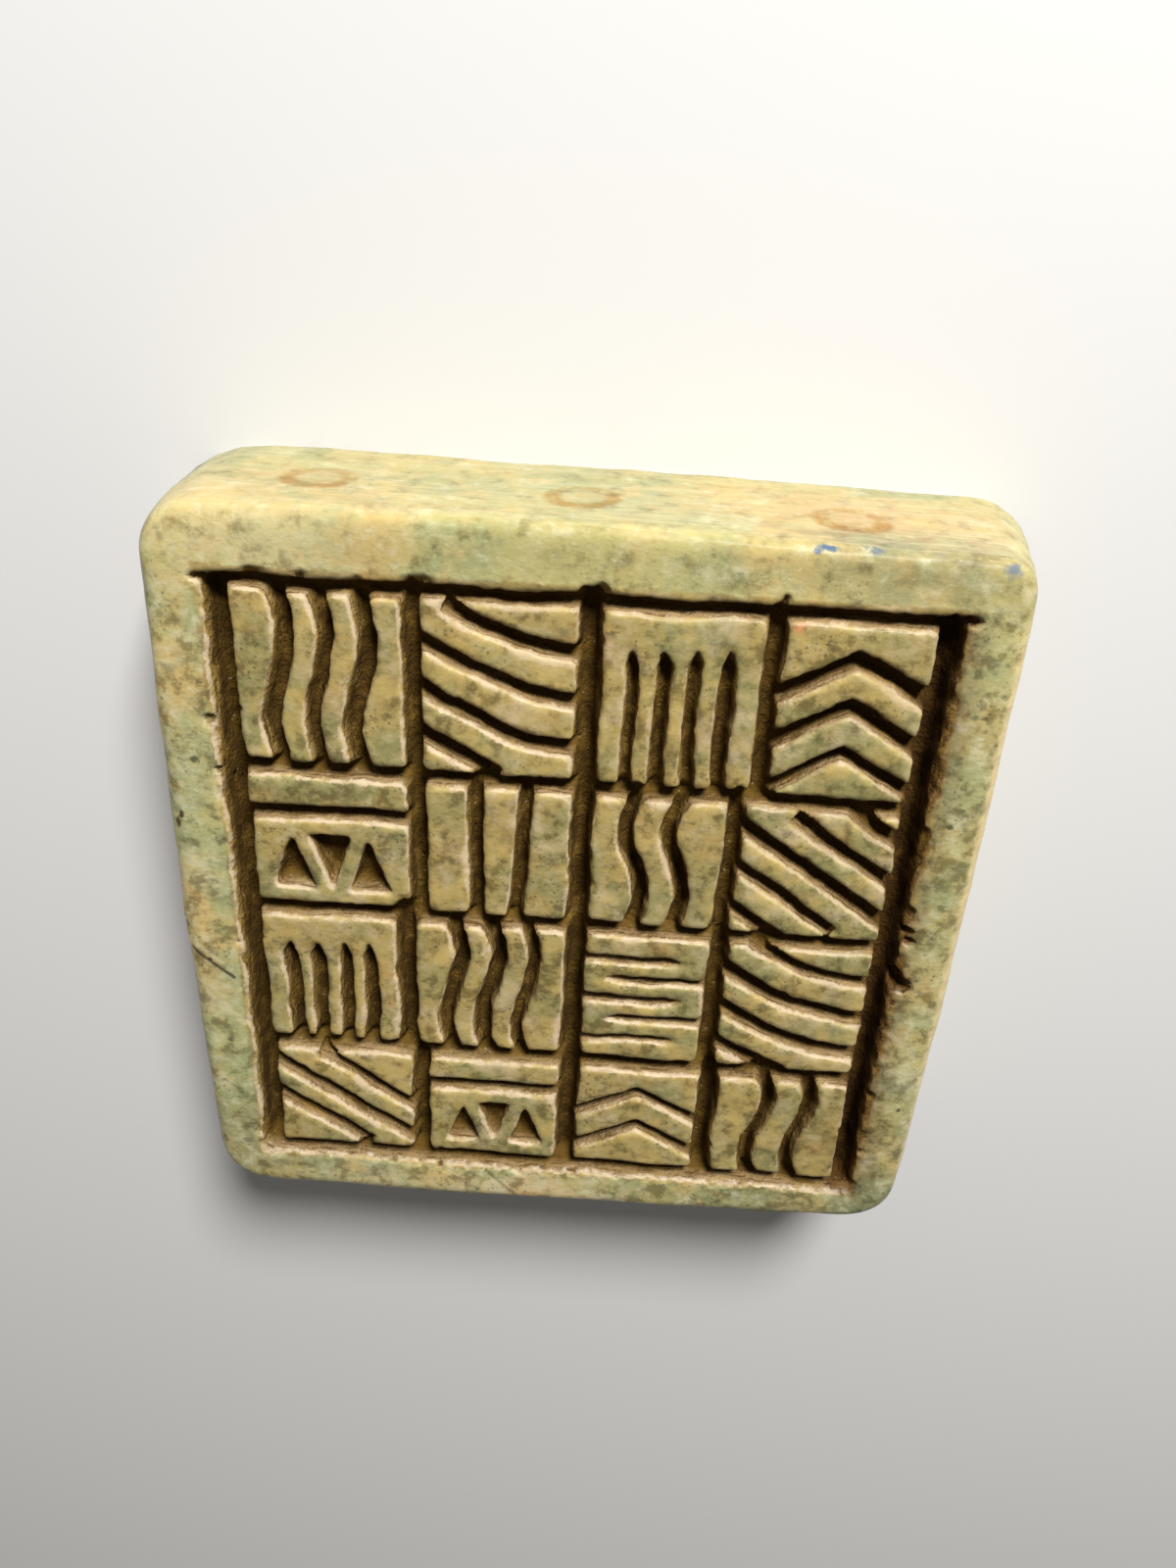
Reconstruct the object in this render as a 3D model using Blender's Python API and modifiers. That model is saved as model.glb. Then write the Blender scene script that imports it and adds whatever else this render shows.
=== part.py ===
"""A carved stone stamp seal: a thick, nearly square slab of soft green stone, cut by hand.

The slab lies on its flat back with the carved face up, and widens towards its back. The
carving is rows of plain strokes that stand level with a raised border. Three shallow
drilled rings mark one side.
Lengths are metres, with +Z out of the carved face and +Y towards the ringed side.
"""

import math
import random
from dataclasses import dataclass

import bmesh
import bpy
from mathutils import Matrix, Vector

MM = 0.001
WELD = 0.001 * MM
FLAT_ANGLE = math.radians(0.05)

# Slab
FACE_WIDTH = 50.0 * MM
LEFT_SIDE = 52.3 * MM
RIGHT_SIDE = 50.8 * MM
THICKNESS = 13.0 * MM
SIDE_BOW = 0.25 * MM
BACK_BOW = 0.05 * MM
ARRIS_RADIUS = 0.8 * MM
ARRIS_STEPS = 3
CORNER_STEPS = 7
SIDE_STEPS = 4
TOP_LEFT_RADIUS = 2.9 * MM
TOP_RIGHT_RADIUS = 1.9 * MM
BOTTOM_RIGHT_RADIUS = 3.6 * MM
BOTTOM_LEFT_RADIUS = 3.3 * MM

# Spread of the slab from its face to its back
SPREAD_LEFT = 3.9 * MM
SPREAD_RIGHT = 3.6 * MM
SPREAD_TOP = 0.4 * MM
SPREAD_BOTTOM = 1.5 * MM
BACK_LEFT_RADIUS = 8.0 * MM
BACK_RIGHT_RADIUS = 5.2 * MM

# Border around the carving
BORDER_LEFT = 3.3 * MM
BORDER_RIGHT = 3.2 * MM
BORDER_TOP = 3.5 * MM
BORDER_BOTTOM = 3.0 * MM

# Knife cuts
CARVING_DEPTH = 1.7 * MM
GROOVE_WIDTH = 1.2 * MM
GROOVE_FLOOR = 0.55 * MM
CUT_LIFT = 0.25 * MM
TIP_LENGTH = 1.4 * MM
TIP_SHARE = 0.12
OVERRUN = 0.45 * MM
HAND_WANDER = 0.08 * MM
PRESSURE_SPREAD = 0.12
PIT_DRAFT = 0.45 * MM

# Channels round the rows of strokes
SIDE_CHANNEL = 1.65 * MM
TOP_CHANNEL = 1.2 * MM
BOTTOM_CHANNEL = 1.45 * MM
MIDDLE_CHANNEL = 1.5 * MM
MIDDLE_SHIFT = 0.6 * MM
GROUP_CHANNEL = 1.45 * MM
ROW_CHANNEL = 1.3 * MM
CROSSING_PIT = 2.6 * MM
CROSSING_SPREAD = 0.2
BORDER_NICK = 1.7 * MM

# A triangle's height as a share of the circle round it
TRIANGLE_HEIGHT = 0.75

# Strokes
STROKE_WIDTH = 1.85 * MM
BEAM_WIDTH = 1.7 * MM
WAVE_REACH = 0.6 * MM
WAVE_STEPS = 8
SWEEP_STEPS = 6
SWEEP_BEND = 0.9
SWEEP_DROP = 3.6 * MM
SLANT_DROP = 7.0 * MM
CHEVRON_RISE = 2.6 * MM
NOTCH_COUNT = 3
NOTCH_GAP = 0.95 * MM
FINE_CUT = 0.75 * MM
FINE_STROKE = 1.1 * MM
SLIT_SHARE = 0.85
ROW_SHARES = (1.12, 0.94, 1.04, 0.9)
LEFT_ROWS = (
    (("waves", 1.05), ("sweeps", 0.95)),
    (("notches", 1.0), ("bars", 0.9)),
    (("combs", 0.9), ("waves", 1.0)),
    (("slants", 1.05), ("notches", 1.0)),
)
RIGHT_ROWS = (
    (("combs", 1.0), ("chevrons", 0.9)),
    (("waves", 0.95), ("slants", 1.1)),
    (("fine", 0.85), ("sweeps", 1.0)),
    (("chevrons", 0.95), ("waves", 1.0)),
)

# Rings drilled in the top side
RING_COUNT = 3
RING_STEPS = 24
RING_LINE_STEPS = 6
RING_DIAMETER = 3.6 * MM
RING_LINE = 0.24 * MM
RING_DEPTH = 0.13 * MM
RING_SPACING = 15.7 * MM
RING_SHIFT = -0.4 * MM
RING_MIDDLE = 7.2 * MM
RING_CLIMB = 0.65 * MM

STONE_COLOUR = (0.36, 0.36, 0.22, 1.0)
STONE_ROUGHNESS = 0.42
STONE_METALLIC = 0.0

hand = random.Random(11)


@dataclass
class Cell:
    """A rectangle of the face that one group of strokes fills."""

    left: float
    right: float
    bottom: float
    top: float

    @property
    def width(self):
        """Give the cell's size from left to right."""
        return self.right - self.left

    @property
    def height(self):
        """Give the cell's size from bottom to top."""
        return self.top - self.bottom


def clear_scene():
    """Remove what the scene holds."""
    for thing in list(bpy.data.objects):
        bpy.data.objects.remove(thing, do_unlink=True)


def new_collection(name):
    """Make a collection in the scene."""
    collection = bpy.data.collections.new(name)
    bpy.context.scene.collection.children.link(collection)
    return collection


def stone_material():
    """Make the pale sage stone."""
    material = bpy.data.materials.new("sage_stone")
    material.use_nodes = True
    shader = material.node_tree.nodes["Principled BSDF"]
    shader.inputs["Base Color"].default_value = STONE_COLOUR
    shader.inputs["Roughness"].default_value = STONE_ROUGHNESS
    shader.inputs["Metallic"].default_value = STONE_METALLIC
    material.diffuse_color = STONE_COLOUR
    return material


def curve_to_mesh(curve_object, collection):
    """Turn a curve object into a closed mesh object of the same name and place."""
    name = curve_object.name
    evaluated = curve_object.evaluated_get(bpy.context.evaluated_depsgraph_get())
    mesh = bpy.data.meshes.new_from_object(evaluated)
    place = curve_object.matrix_world.copy()
    bpy.data.objects.remove(curve_object, do_unlink=True)
    shape = bmesh.new()
    shape.from_mesh(mesh)
    bmesh.ops.remove_doubles(shape, verts=shape.verts, dist=WELD)
    bmesh.ops.dissolve_limit(shape, angle_limit=FLAT_ANGLE, verts=shape.verts, edges=shape.edges)
    bmesh.ops.recalc_face_normals(shape, faces=shape.faces)
    for face in shape.faces:
        face.smooth = False
    shape.to_mesh(mesh)
    shape.free()
    solid = bpy.data.objects.new(name, mesh)
    solid.matrix_world = place
    collection.objects.link(solid)
    return solid


def face_corners():
    """Give the face's four sharp corners, clockwise from the top left, with their radii."""
    half = FACE_WIDTH / 2
    return (
        (Vector((-half, LEFT_SIDE / 2)), TOP_LEFT_RADIUS),
        (Vector((half, RIGHT_SIDE / 2)), TOP_RIGHT_RADIUS),
        (Vector((half, -RIGHT_SIDE / 2)), BOTTOM_RIGHT_RADIUS),
        (Vector((-half, -LEFT_SIDE / 2)), BOTTOM_LEFT_RADIUS),
    )


def back_corners():
    """Give the back's four sharp corners in the same order, with their radii."""
    left = -FACE_WIDTH / 2 - SPREAD_LEFT
    right = FACE_WIDTH / 2 + SPREAD_RIGHT
    return (
        (Vector((left, LEFT_SIDE / 2 + SPREAD_TOP)), BACK_LEFT_RADIUS),
        (Vector((right, RIGHT_SIDE / 2 + SPREAD_TOP)), BACK_RIGHT_RADIUS),
        (Vector((right, -RIGHT_SIDE / 2 - SPREAD_BOTTOM)), BACK_RIGHT_RADIUS),
        (Vector((left, -LEFT_SIDE / 2 - SPREAD_BOTTOM)), BACK_LEFT_RADIUS),
    )


def corner_arc(before, corner, after, radius):
    """Round one corner with an arc that touches both sides."""
    back = (before - corner).normalized()
    onward = (after - corner).normalized()
    half_angle = back.angle(onward) / 2
    centre = corner + (back + onward).normalized() * (radius / math.sin(half_angle))
    start = corner + back * (radius / math.tan(half_angle)) - centre
    sweep = -(math.pi - 2 * half_angle)
    arc = []
    for step in range(CORNER_STEPS + 1):
        turn = Matrix.Rotation(sweep * step / CORNER_STEPS, 2)
        arc.append(centre + turn @ start)
    return arc


def bowed_side(start, end, bow):
    """Give the points between two arcs, bowed outwards a little."""
    along = end - start
    outward = Vector((-along.y, along.x)).normalized()
    points = []
    for step in range(1, SIDE_STEPS):
        share = step / SIDE_STEPS
        rise = 4 * share * (1 - share)
        points.append(start + along * share + outward * bow * rise)
    return points


def slab_outline(corners, bow):
    """Give an outline, clockwise: rounded corners joined by bowed sides."""
    arcs = []
    for index, (corner, radius) in enumerate(corners):
        before = corners[index - 1][0]
        after = corners[(index + 1) % len(corners)][0]
        arcs.append(corner_arc(before, corner, after, radius))
    outline = []
    for index, arc in enumerate(arcs):
        outline.extend(arc)
        outline.extend(bowed_side(arc[-1], arcs[(index + 1) % len(arcs)][0], bow))
    return outline


def footprint_middle(mesh):
    """Find the middle of the box around the slab, seen from above."""
    across = [vertex.co.x for vertex in mesh.vertices]
    along = [vertex.co.y for vertex in mesh.vertices]
    return Vector(((min(across) + max(across)) / 2, (min(along) + max(along)) / 2))


def spread_back(mesh, face_outline, back_outline):
    """Move the slab's back edge from the face's outline onto the back's own."""
    for vertex in mesh.vertices:
        if vertex.co.z > 0:
            continue
        gaps = [(vertex.co.xy - point).length for point in face_outline]
        place = back_outline[gaps.index(min(gaps))]
        vertex.co.xy = place


def height_across(outline, across):
    """Find how high an outline's top side is at a place across it."""
    for start, end in zip(outline, outline[1:]):
        if start.x <= across < end.x:
            share = (across - start.x) / (end.x - start.x)
            return start.y + (end.y - start.y) * share
    return outline[0].y


def make_slab(name, collection):
    """Extrude the outline to the slab and round its arrises."""
    curve = bpy.data.curves.new(name, "CURVE")
    curve.dimensions = "2D"
    curve.fill_mode = "BOTH"
    curve.extrude = THICKNESS / 2
    outline = slab_outline(face_corners(), SIDE_BOW)
    spline = curve.splines.new("POLY")
    spline.points.add(len(outline) - 1)
    for point, place in zip(spline.points, outline):
        point.co = (place.x, place.y, 0.0, 1.0)
    spline.use_cyclic_u = True
    drawing = bpy.data.objects.new(name, curve)
    collection.objects.link(drawing)
    bpy.context.view_layer.update()
    slab = curve_to_mesh(drawing, collection)
    spread_back(slab.data, outline, slab_outline(back_corners(), BACK_BOW))
    slab.data.transform(Matrix.Translation((0.0, 0.0, THICKNESS / 2)))
    bevel = slab.modifiers.new("worn_arrises", "BEVEL")
    bevel.width = ARRIS_RADIUS
    bevel.segments = ARRIS_STEPS
    bevel.limit_method = "ANGLE"
    return slab


def make_knife_profile(collection):
    """Draw the section that a knife cut has: wide at the face and narrow at its floor."""
    slope = (GROOVE_WIDTH - GROOVE_FLOOR) / 2 / CARVING_DEPTH
    mouth = GROOVE_WIDTH / 2 + slope * CUT_LIFT
    section = (
        (-mouth, CUT_LIFT),
        (mouth, CUT_LIFT),
        (GROOVE_FLOOR / 2, -CARVING_DEPTH),
        (-GROOVE_FLOOR / 2, -CARVING_DEPTH),
    )
    curve = bpy.data.curves.new("knife_profile", "CURVE")
    curve.dimensions = "2D"
    spline = curve.splines.new("POLY")
    spline.points.add(len(section) - 1)
    for point, (across, depth) in zip(spline.points, section):
        point.co = (across, depth, 0.0, 1.0)
    spline.use_cyclic_u = True
    profile = bpy.data.objects.new("knife_profile", curve)
    profile.hide_render = True
    profile.display_type = "WIRE"
    collection.objects.link(profile)
    return profile


def knife_path(path, pointed):
    """Give each point its share of the knife's section, and add a point to a pointed end."""
    points = [(Vector(place), 1.0) for place in path]
    if pointed:
        along = (points[-1][0] - points[-2][0]).normalized()
        points.append((points[-1][0] + along * TIP_LENGTH, TIP_SHARE))
    return points


def knife_cut(cutters, profile, path, pointed=False, width=GROOVE_WIDTH):
    """Sweep the knife's section along a path on the face."""
    pressure = width / GROOVE_WIDTH * hand.uniform(1 - PRESSURE_SPREAD, 1 + PRESSURE_SPREAD)
    points = knife_path(path, pointed)
    curve = bpy.data.curves.new("knife_cut", "CURVE")
    curve.dimensions = "3D"
    curve.twist_mode = "Z_UP"
    curve.bevel_mode = "OBJECT"
    curve.bevel_object = profile
    curve.use_fill_caps = True
    spline = curve.splines.new("POLY")
    spline.points.add(len(points) - 1)
    for point, (place, share) in zip(spline.points, points):
        wander_x = hand.uniform(-HAND_WANDER, HAND_WANDER)
        wander_y = hand.uniform(-HAND_WANDER, HAND_WANDER)
        point.co = (place.x + wander_x, place.y + wander_y, THICKNESS, 1.0)
        point.radius = share * pressure
    drawing = bpy.data.objects.new("knife_cut", curve)
    cutters.objects.link(drawing)
    bpy.context.view_layer.update()
    cutter = curve_to_mesh(drawing, cutters)
    hide_cutter(cutter)


def hide_cutter(cutter):
    """Show a cutter as wires and keep it out of renders."""
    cutter.hide_render = True
    cutter.display_type = "WIRE"


def pit(cutters, centre, width, height, sides, turn):
    """Sink a pit with sloping walls, from a cone that is drawn out to the size asked for."""
    shape = bmesh.new()
    depth = CARVING_DEPTH * hand.uniform(1 - PRESSURE_SPREAD, 1.0)
    slope = PIT_DRAFT / depth
    mouth = 0.5 + slope * CUT_LIFT / min(width, height)
    floor = 0.5 - PIT_DRAFT / min(width, height)
    bmesh.ops.create_cone(
        shape, cap_ends=True, segments=sides, radius1=floor, radius2=mouth, depth=depth + CUT_LIFT
    )
    bmesh.ops.rotate(shape, verts=shape.verts, matrix=Matrix.Rotation(turn, 3, "Z"))
    bmesh.ops.scale(shape, verts=shape.verts, vec=(width, height, 1.0))
    middle = THICKNESS + (CUT_LIFT - depth) / 2
    bmesh.ops.translate(shape, verts=shape.verts, vec=(centre[0], centre[1], middle))
    mesh = bpy.data.meshes.new("pit")
    shape.to_mesh(mesh)
    shape.free()
    cutter = bpy.data.objects.new("pit", mesh)
    cutters.objects.link(cutter)
    hide_cutter(cutter)


def diamond_pit(cutters, across, height, size):
    """Sink a diamond where channels cross, so that the strokes' corners are cut off."""
    pit(cutters, (across, height), size, size, sides=4, turn=0.0)


def three_sided_pit(cutters, across, low, high, width, turn):
    """Sink a three-sided pit between two heights, its point up, or down when half turned."""
    circle_width = width / math.cos(math.pi / 6)
    circle_height = (high - low) / TRIANGLE_HEIGHT
    shift = circle_height * (1 - TRIANGLE_HEIGHT) / 2
    middle = (low + high) / 2 - shift * math.cos(turn)
    pit(cutters, (across, middle), circle_width, circle_height, sides=3, turn=turn)


def field_box():
    """Give the carved field inside the border."""
    mean_side = (LEFT_SIDE + RIGHT_SIDE) / 2
    return Cell(
        -FACE_WIDTH / 2 + BORDER_LEFT,
        FACE_WIDTH / 2 - BORDER_RIGHT,
        -mean_side / 2 + BORDER_BOTTOM,
        mean_side / 2 - BORDER_TOP,
    )


def split(low, high, shares, gap):
    """Split a length into spans in the given shares, with a gap between each two."""
    room = high - low - gap * (len(shares) - 1)
    spans = []
    start = low
    for share in shares:
        span = room * share / sum(shares)
        spans.append((start, start + span))
        start += span + gap
    return spans


def stroke_rows():
    """Give the bottom and top of each row, from the top row down."""
    field = field_box()
    spans = split(
        field.bottom + BOTTOM_CHANNEL, field.top - TOP_CHANNEL, ROW_SHARES[::-1], ROW_CHANNEL
    )
    return spans[::-1]


def row_halves():
    """Give the left and right ends of the rows on each side of the middle channel."""
    field = field_box()
    middle = (field.left + field.right) / 2 + MIDDLE_SHIFT
    left_half = (field.left + SIDE_CHANNEL, middle - MIDDLE_CHANNEL / 2)
    right_half = (middle + MIDDLE_CHANNEL / 2, field.right - SIDE_CHANNEL)
    return left_half, right_half


def cut_upright(cutters, profile, across, low, high, width):
    """Cut one long upright channel."""
    path = [(across, low), (across, (low + high) / 2), (across, high)]
    knife_cut(cutters, profile, path, width=width)


def cut_level(cutters, profile, height, low, high, width):
    """Cut one long level channel."""
    path = [(low, height), ((low + high) / 2, height), (high, height)]
    knife_cut(cutters, profile, path, width=width)


def cut_channels(cutters, profile):
    """Cut the long channels inside the border, down the middle and between the rows."""
    field = field_box()
    rows = stroke_rows()
    left_half, right_half = row_halves()
    low = field.bottom + OVERRUN
    high = field.top - OVERRUN
    cut_upright(cutters, profile, field.left + SIDE_CHANNEL / 2, low, high, SIDE_CHANNEL)
    cut_upright(cutters, profile, field.right - SIDE_CHANNEL / 2, low, high, SIDE_CHANNEL)
    middle = (left_half[1] + right_half[0]) / 2
    cut_upright(cutters, profile, middle, low, field.top + OVERRUN / 2, MIDDLE_CHANNEL)
    near = field.left + OVERRUN
    far = field.right - OVERRUN
    cut_level(cutters, profile, field.top - TOP_CHANNEL / 2, near, far, TOP_CHANNEL)
    cut_level(cutters, profile, field.bottom + BOTTOM_CHANNEL / 2, near, far, BOTTOM_CHANNEL)
    for above, below in zip(rows, rows[1:]):
        cut_level(cutters, profile, (above[0] + below[1]) / 2, near, far, ROW_CHANNEL)


def evenly(low, high, count):
    """Give the places of the cuts that part a length into strokes."""
    return [low + (high - low) * (index + 1) / count for index in range(count - 1)]


def strokes_in(length, stroke=STROKE_WIDTH, gap=GROOVE_WIDTH):
    """Count the strokes that fit side by side in a length, at least three."""
    return max(3, round((length + gap) / (stroke + gap)))


def cut_waves(cutters, profile, cell):
    """Part a cell into upright wavy strokes."""
    lean = hand.choice((-1, 1))
    for across in evenly(cell.left, cell.right, strokes_in(cell.width)):
        path = []
        for step in range(WAVE_STEPS + 1):
            share = step / WAVE_STEPS
            sway = WAVE_REACH * lean * math.sin(2 * math.pi * share)
            height = cell.bottom - OVERRUN + (cell.height + 2 * OVERRUN) * share
            path.append((across + sway, height))
        knife_cut(cutters, profile, path)


def cut_bars(cutters, profile, cell):
    """Part a cell into upright bars that lean a little."""
    for across in evenly(cell.left, cell.right, strokes_in(cell.width)):
        lean = hand.uniform(-OVERRUN, OVERRUN) / 2
        path = [(across - lean, cell.bottom - OVERRUN), (across + lean, cell.top + OVERRUN)]
        knife_cut(cutters, profile, path)


def cut_combs(cutters, profile, cell):
    """Cut pointed slits from below, so that upright bars hang from a level one."""
    slit = GROOVE_WIDTH * SLIT_SHARE
    count = strokes_in(cell.width, STROKE_WIDTH * SLIT_SHARE, slit) + 1
    for across in evenly(cell.left, cell.right, count):
        high = cell.top - BEAM_WIDTH - TIP_LENGTH
        path = [(across, cell.bottom - OVERRUN), (across, high)]
        knife_cut(cutters, profile, path, pointed=True, width=slit)


def cut_fine(cutters, profile, cell):
    """Part a cell into fine level strokes, joined at one side and the other by turns."""
    count = strokes_in(cell.height, FINE_STROKE, FINE_CUT)
    for index, height in enumerate(evenly(cell.bottom, cell.top, count)):
        path = [(cell.left - OVERRUN, height), (cell.right - FINE_STROKE - TIP_LENGTH, height)]
        if index % 2:
            path = [(cell.right + OVERRUN, height), (cell.left + FINE_STROKE + TIP_LENGTH, height)]
        knife_cut(cutters, profile, path, pointed=True, width=FINE_CUT)


def sloping_path(cell, start, drop, bend):
    """Give the part of a falling line, straight or bent, that lies in the cell."""
    path = []
    for step in range(SWEEP_STEPS + 1):
        share = step / SWEEP_STEPS
        across = cell.left - OVERRUN + (cell.width + 2 * OVERRUN) * share
        height = start - drop * (share + bend * share * (1 - share))
        if cell.bottom - OVERRUN < height < cell.top + OVERRUN:
            path.append((across, height))
    return path


def cut_falling(cutters, profile, cell, drop, bend):
    """Part a cell into strokes that fall to the right."""
    pitch = STROKE_WIDTH + GROOVE_WIDTH
    count = int((cell.height + drop) / pitch)
    spare = (cell.height + drop - count * pitch) / 2
    for index in range(count):
        start = cell.bottom + spare + pitch * (index + 0.5)
        path = sloping_path(cell, start, drop, bend)
        if len(path) > 2:
            knife_cut(cutters, profile, path)


def cut_sweeps(cutters, profile, cell):
    """Part a cell into long bent strokes that sweep down to the right."""
    cut_falling(cutters, profile, cell, SWEEP_DROP, SWEEP_BEND)


def cut_slants(cutters, profile, cell):
    """Part a cell into straight slanting strokes."""
    cut_falling(cutters, profile, cell, SLANT_DROP, 0.0)


def cut_chevrons(cutters, profile, cell):
    """Part a cell into nested peaked strokes."""
    middle = (cell.left + cell.right) / 2
    height = cell.top - STROKE_WIDTH
    while height - CHEVRON_RISE > cell.bottom:
        path = [
            (cell.left - OVERRUN, height - CHEVRON_RISE),
            (middle, height),
            (cell.right + OVERRUN, height - CHEVRON_RISE),
        ]
        knife_cut(cutters, profile, path)
        height -= STROKE_WIDTH + GROOVE_WIDTH


def cut_notches(cutters, profile, cell):
    """Cut a level stroke over a row of three-sided pits, point up and point down by turns."""
    shelf = cell.top - BEAM_WIDTH - GROOVE_WIDTH / 2
    cut_level(cutters, profile, shelf, cell.left - OVERRUN, cell.right + OVERRUN, GROOVE_WIDTH)
    low = cell.bottom + NOTCH_GAP
    high = shelf - GROOVE_WIDTH / 2 - NOTCH_GAP
    room = cell.width - NOTCH_GAP * (NOTCH_COUNT + 1)
    width = room * 2 / (NOTCH_COUNT + 1)
    for index in range(NOTCH_COUNT):
        across = cell.left + NOTCH_GAP + width / 2 + index * (width / 2 + NOTCH_GAP)
        turn = math.pi * (index % 2)
        three_sided_pit(cutters, across, low, high, width, turn)


CUT_KINDS = {
    "waves": cut_waves,
    "bars": cut_bars,
    "combs": cut_combs,
    "fine": cut_fine,
    "sweeps": cut_sweeps,
    "slants": cut_slants,
    "chevrons": cut_chevrons,
    "notches": cut_notches,
}


def cut_row(cutters, profile, groups, ends, bottom, top):
    """Cut one side of a row: a channel between its groups, then each group's strokes."""
    shares = [share for _, share in groups]
    spans = split(ends[0], ends[1], shares, GROUP_CHANNEL)
    for before, after in zip(spans, spans[1:]):
        across = (before[1] + after[0]) / 2
        low = bottom - ROW_CHANNEL / 2
        high = top + ROW_CHANNEL / 2
        cut_upright(cutters, profile, across, low, high, GROUP_CHANNEL)
        at_border = top + ROW_CHANNEL > field_box().top - TOP_CHANNEL
        spread = hand.uniform(1 - CROSSING_SPREAD, 1 + CROSSING_SPREAD)
        size = BORDER_NICK if at_border else CROSSING_PIT * spread
        diamond_pit(cutters, across, high, size)
    for (kind, _), (left, right) in zip(groups, spans):
        CUT_KINDS[kind](cutters, profile, Cell(left, right, bottom, top))


def cut_strokes(cutters, profile):
    """Cut the strokes of every row."""
    left_half, right_half = row_halves()
    for index, (bottom, top) in enumerate(stroke_rows()):
        cut_row(cutters, profile, LEFT_ROWS[index], left_half, bottom, top)
        cut_row(cutters, profile, RIGHT_ROWS[index], right_half, bottom, top)


def cut_rings(cutters):
    """Drill the shallow rings along the middle of the top side."""
    ball = (RING_LINE ** 2 + RING_DEPTH ** 2) / (2 * RING_DEPTH)
    face_outline = slab_outline(face_corners(), SIDE_BOW)
    back_outline = slab_outline(back_corners(), BACK_BOW)
    for index in range(RING_COUNT):
        step = index - (RING_COUNT - 1) / 2
        across = RING_SHIFT + step * RING_SPACING
        up = RING_MIDDLE + step * RING_CLIMB
        at_face = height_across(face_outline, across)
        at_back = height_across(back_outline, across)
        side = at_back + (at_face - at_back) * up / THICKNESS
        lean = math.atan((at_back - at_face) / THICKNESS)
        beside = height_across(face_outline, across + RING_DIAMETER)
        slope = math.atan((beside - at_face) / RING_DIAMETER)
        bpy.ops.mesh.primitive_torus_add(
            location=(across, side + ball - RING_DEPTH, up),
            rotation=(math.pi / 2 + lean, 0.0, slope),
            major_segments=RING_STEPS,
            minor_segments=RING_LINE_STEPS,
            major_radius=RING_DIAMETER / 2,
            minor_radius=ball,
        )
        ring = bpy.context.object
        ring.name = "ring_drill"
        for collection in list(ring.users_collection):
            collection.objects.unlink(ring)
        cutters.objects.link(ring)
        hide_cutter(ring)


def carve(slab, cutters):
    """Cut everything in the collection out of the slab."""
    cut = slab.modifiers.new("carving", "BOOLEAN")
    cut.operation = "DIFFERENCE"
    cut.operand_type = "COLLECTION"
    cut.collection = cutters
    cut.solver = "EXACT"


def settle(slab, cutters):
    """Put the middle of the slab's base at the origin."""
    middle = footprint_middle(slab.data)
    anchor = bpy.data.objects.new("base_middle", None)
    bpy.context.scene.collection.objects.link(anchor)
    for thing in [slab] + list(cutters.objects):
        thing.parent = anchor
    anchor.location = (-middle.x, -middle.y, 0.0)


def main():
    """Build the seal."""
    clear_scene()
    parts = new_collection("stone_stamp_seal")
    cutters = new_collection("seal_cutters")
    guides = new_collection("seal_guides")
    slab = make_slab("stamp_seal", parts)
    slab.data.materials.append(stone_material())
    profile = make_knife_profile(guides)
    cut_channels(cutters, profile)
    cut_strokes(cutters, profile)
    cut_rings(cutters)
    carve(slab, cutters)
    settle(slab, cutters)
    bpy.context.view_layer.update()


main()
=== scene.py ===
"""The finished look of a carved stone stamp seal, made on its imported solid.

Lengths are metres. The slab lies on its back with +Z out of the carved face and +Y towards
the side with the three drilled rings. Patterns of the stone are measured in millimetres.
"""

import logging
import math
from collections.abc import Callable, Iterable, Mapping
from dataclasses import dataclass, field
from enum import Enum
from typing import Any

import bpy
import numpy as np
from mathutils import Matrix, Vector


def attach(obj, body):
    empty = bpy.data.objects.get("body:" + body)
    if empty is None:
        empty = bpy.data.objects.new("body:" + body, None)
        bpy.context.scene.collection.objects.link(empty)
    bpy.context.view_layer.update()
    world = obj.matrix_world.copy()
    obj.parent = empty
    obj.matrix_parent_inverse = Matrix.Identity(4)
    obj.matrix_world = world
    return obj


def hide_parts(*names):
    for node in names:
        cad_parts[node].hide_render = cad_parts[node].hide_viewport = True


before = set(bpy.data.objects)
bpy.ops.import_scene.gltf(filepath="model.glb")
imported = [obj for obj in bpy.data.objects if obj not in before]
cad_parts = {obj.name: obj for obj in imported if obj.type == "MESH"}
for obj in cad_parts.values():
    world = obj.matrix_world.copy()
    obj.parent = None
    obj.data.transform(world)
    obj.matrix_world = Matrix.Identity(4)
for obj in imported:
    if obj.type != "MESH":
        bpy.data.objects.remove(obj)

MM = 0.001
log = logging.getLogger("seal")
Colour = tuple[float, float, float]
Triple = tuple[float, float, float]
Pair = tuple[float, float]
Piece = bpy.types.Object
Chance = np.random.Generator
Numbers = np.ndarray


class Mark(Enum):
    """What each vertex of the slab keeps for the stone's colours."""

    SUNK = "sunk"
    # rim: stroke edges that face the light, which get powder and a painted highlight.
    RIM = "rim"
    # Stroke-top edges away from the light, for painted shade.
    GRIME = "painted_shade"
    # lit_wall: cut walls that face the light, for their painted lit tone.
    LIT_WALL = "lit_wall"
    SCORE = "score"
    STROKE_TOP = "stroke_top"
    UPRIGHT = "upright_cut"


class Zone(Enum):
    """Parts of the slab's surface that are worked in different ways."""

    FLOORS = "cut_floors"
    WALLS = "cut_walls"
    TOPS = "stroke_tops"
    BORDER = "border"
    SIDES = "outer_sides"
    BACK = "back"
    SOFT = "soft_arris"
    SPARE = "spare"


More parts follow.
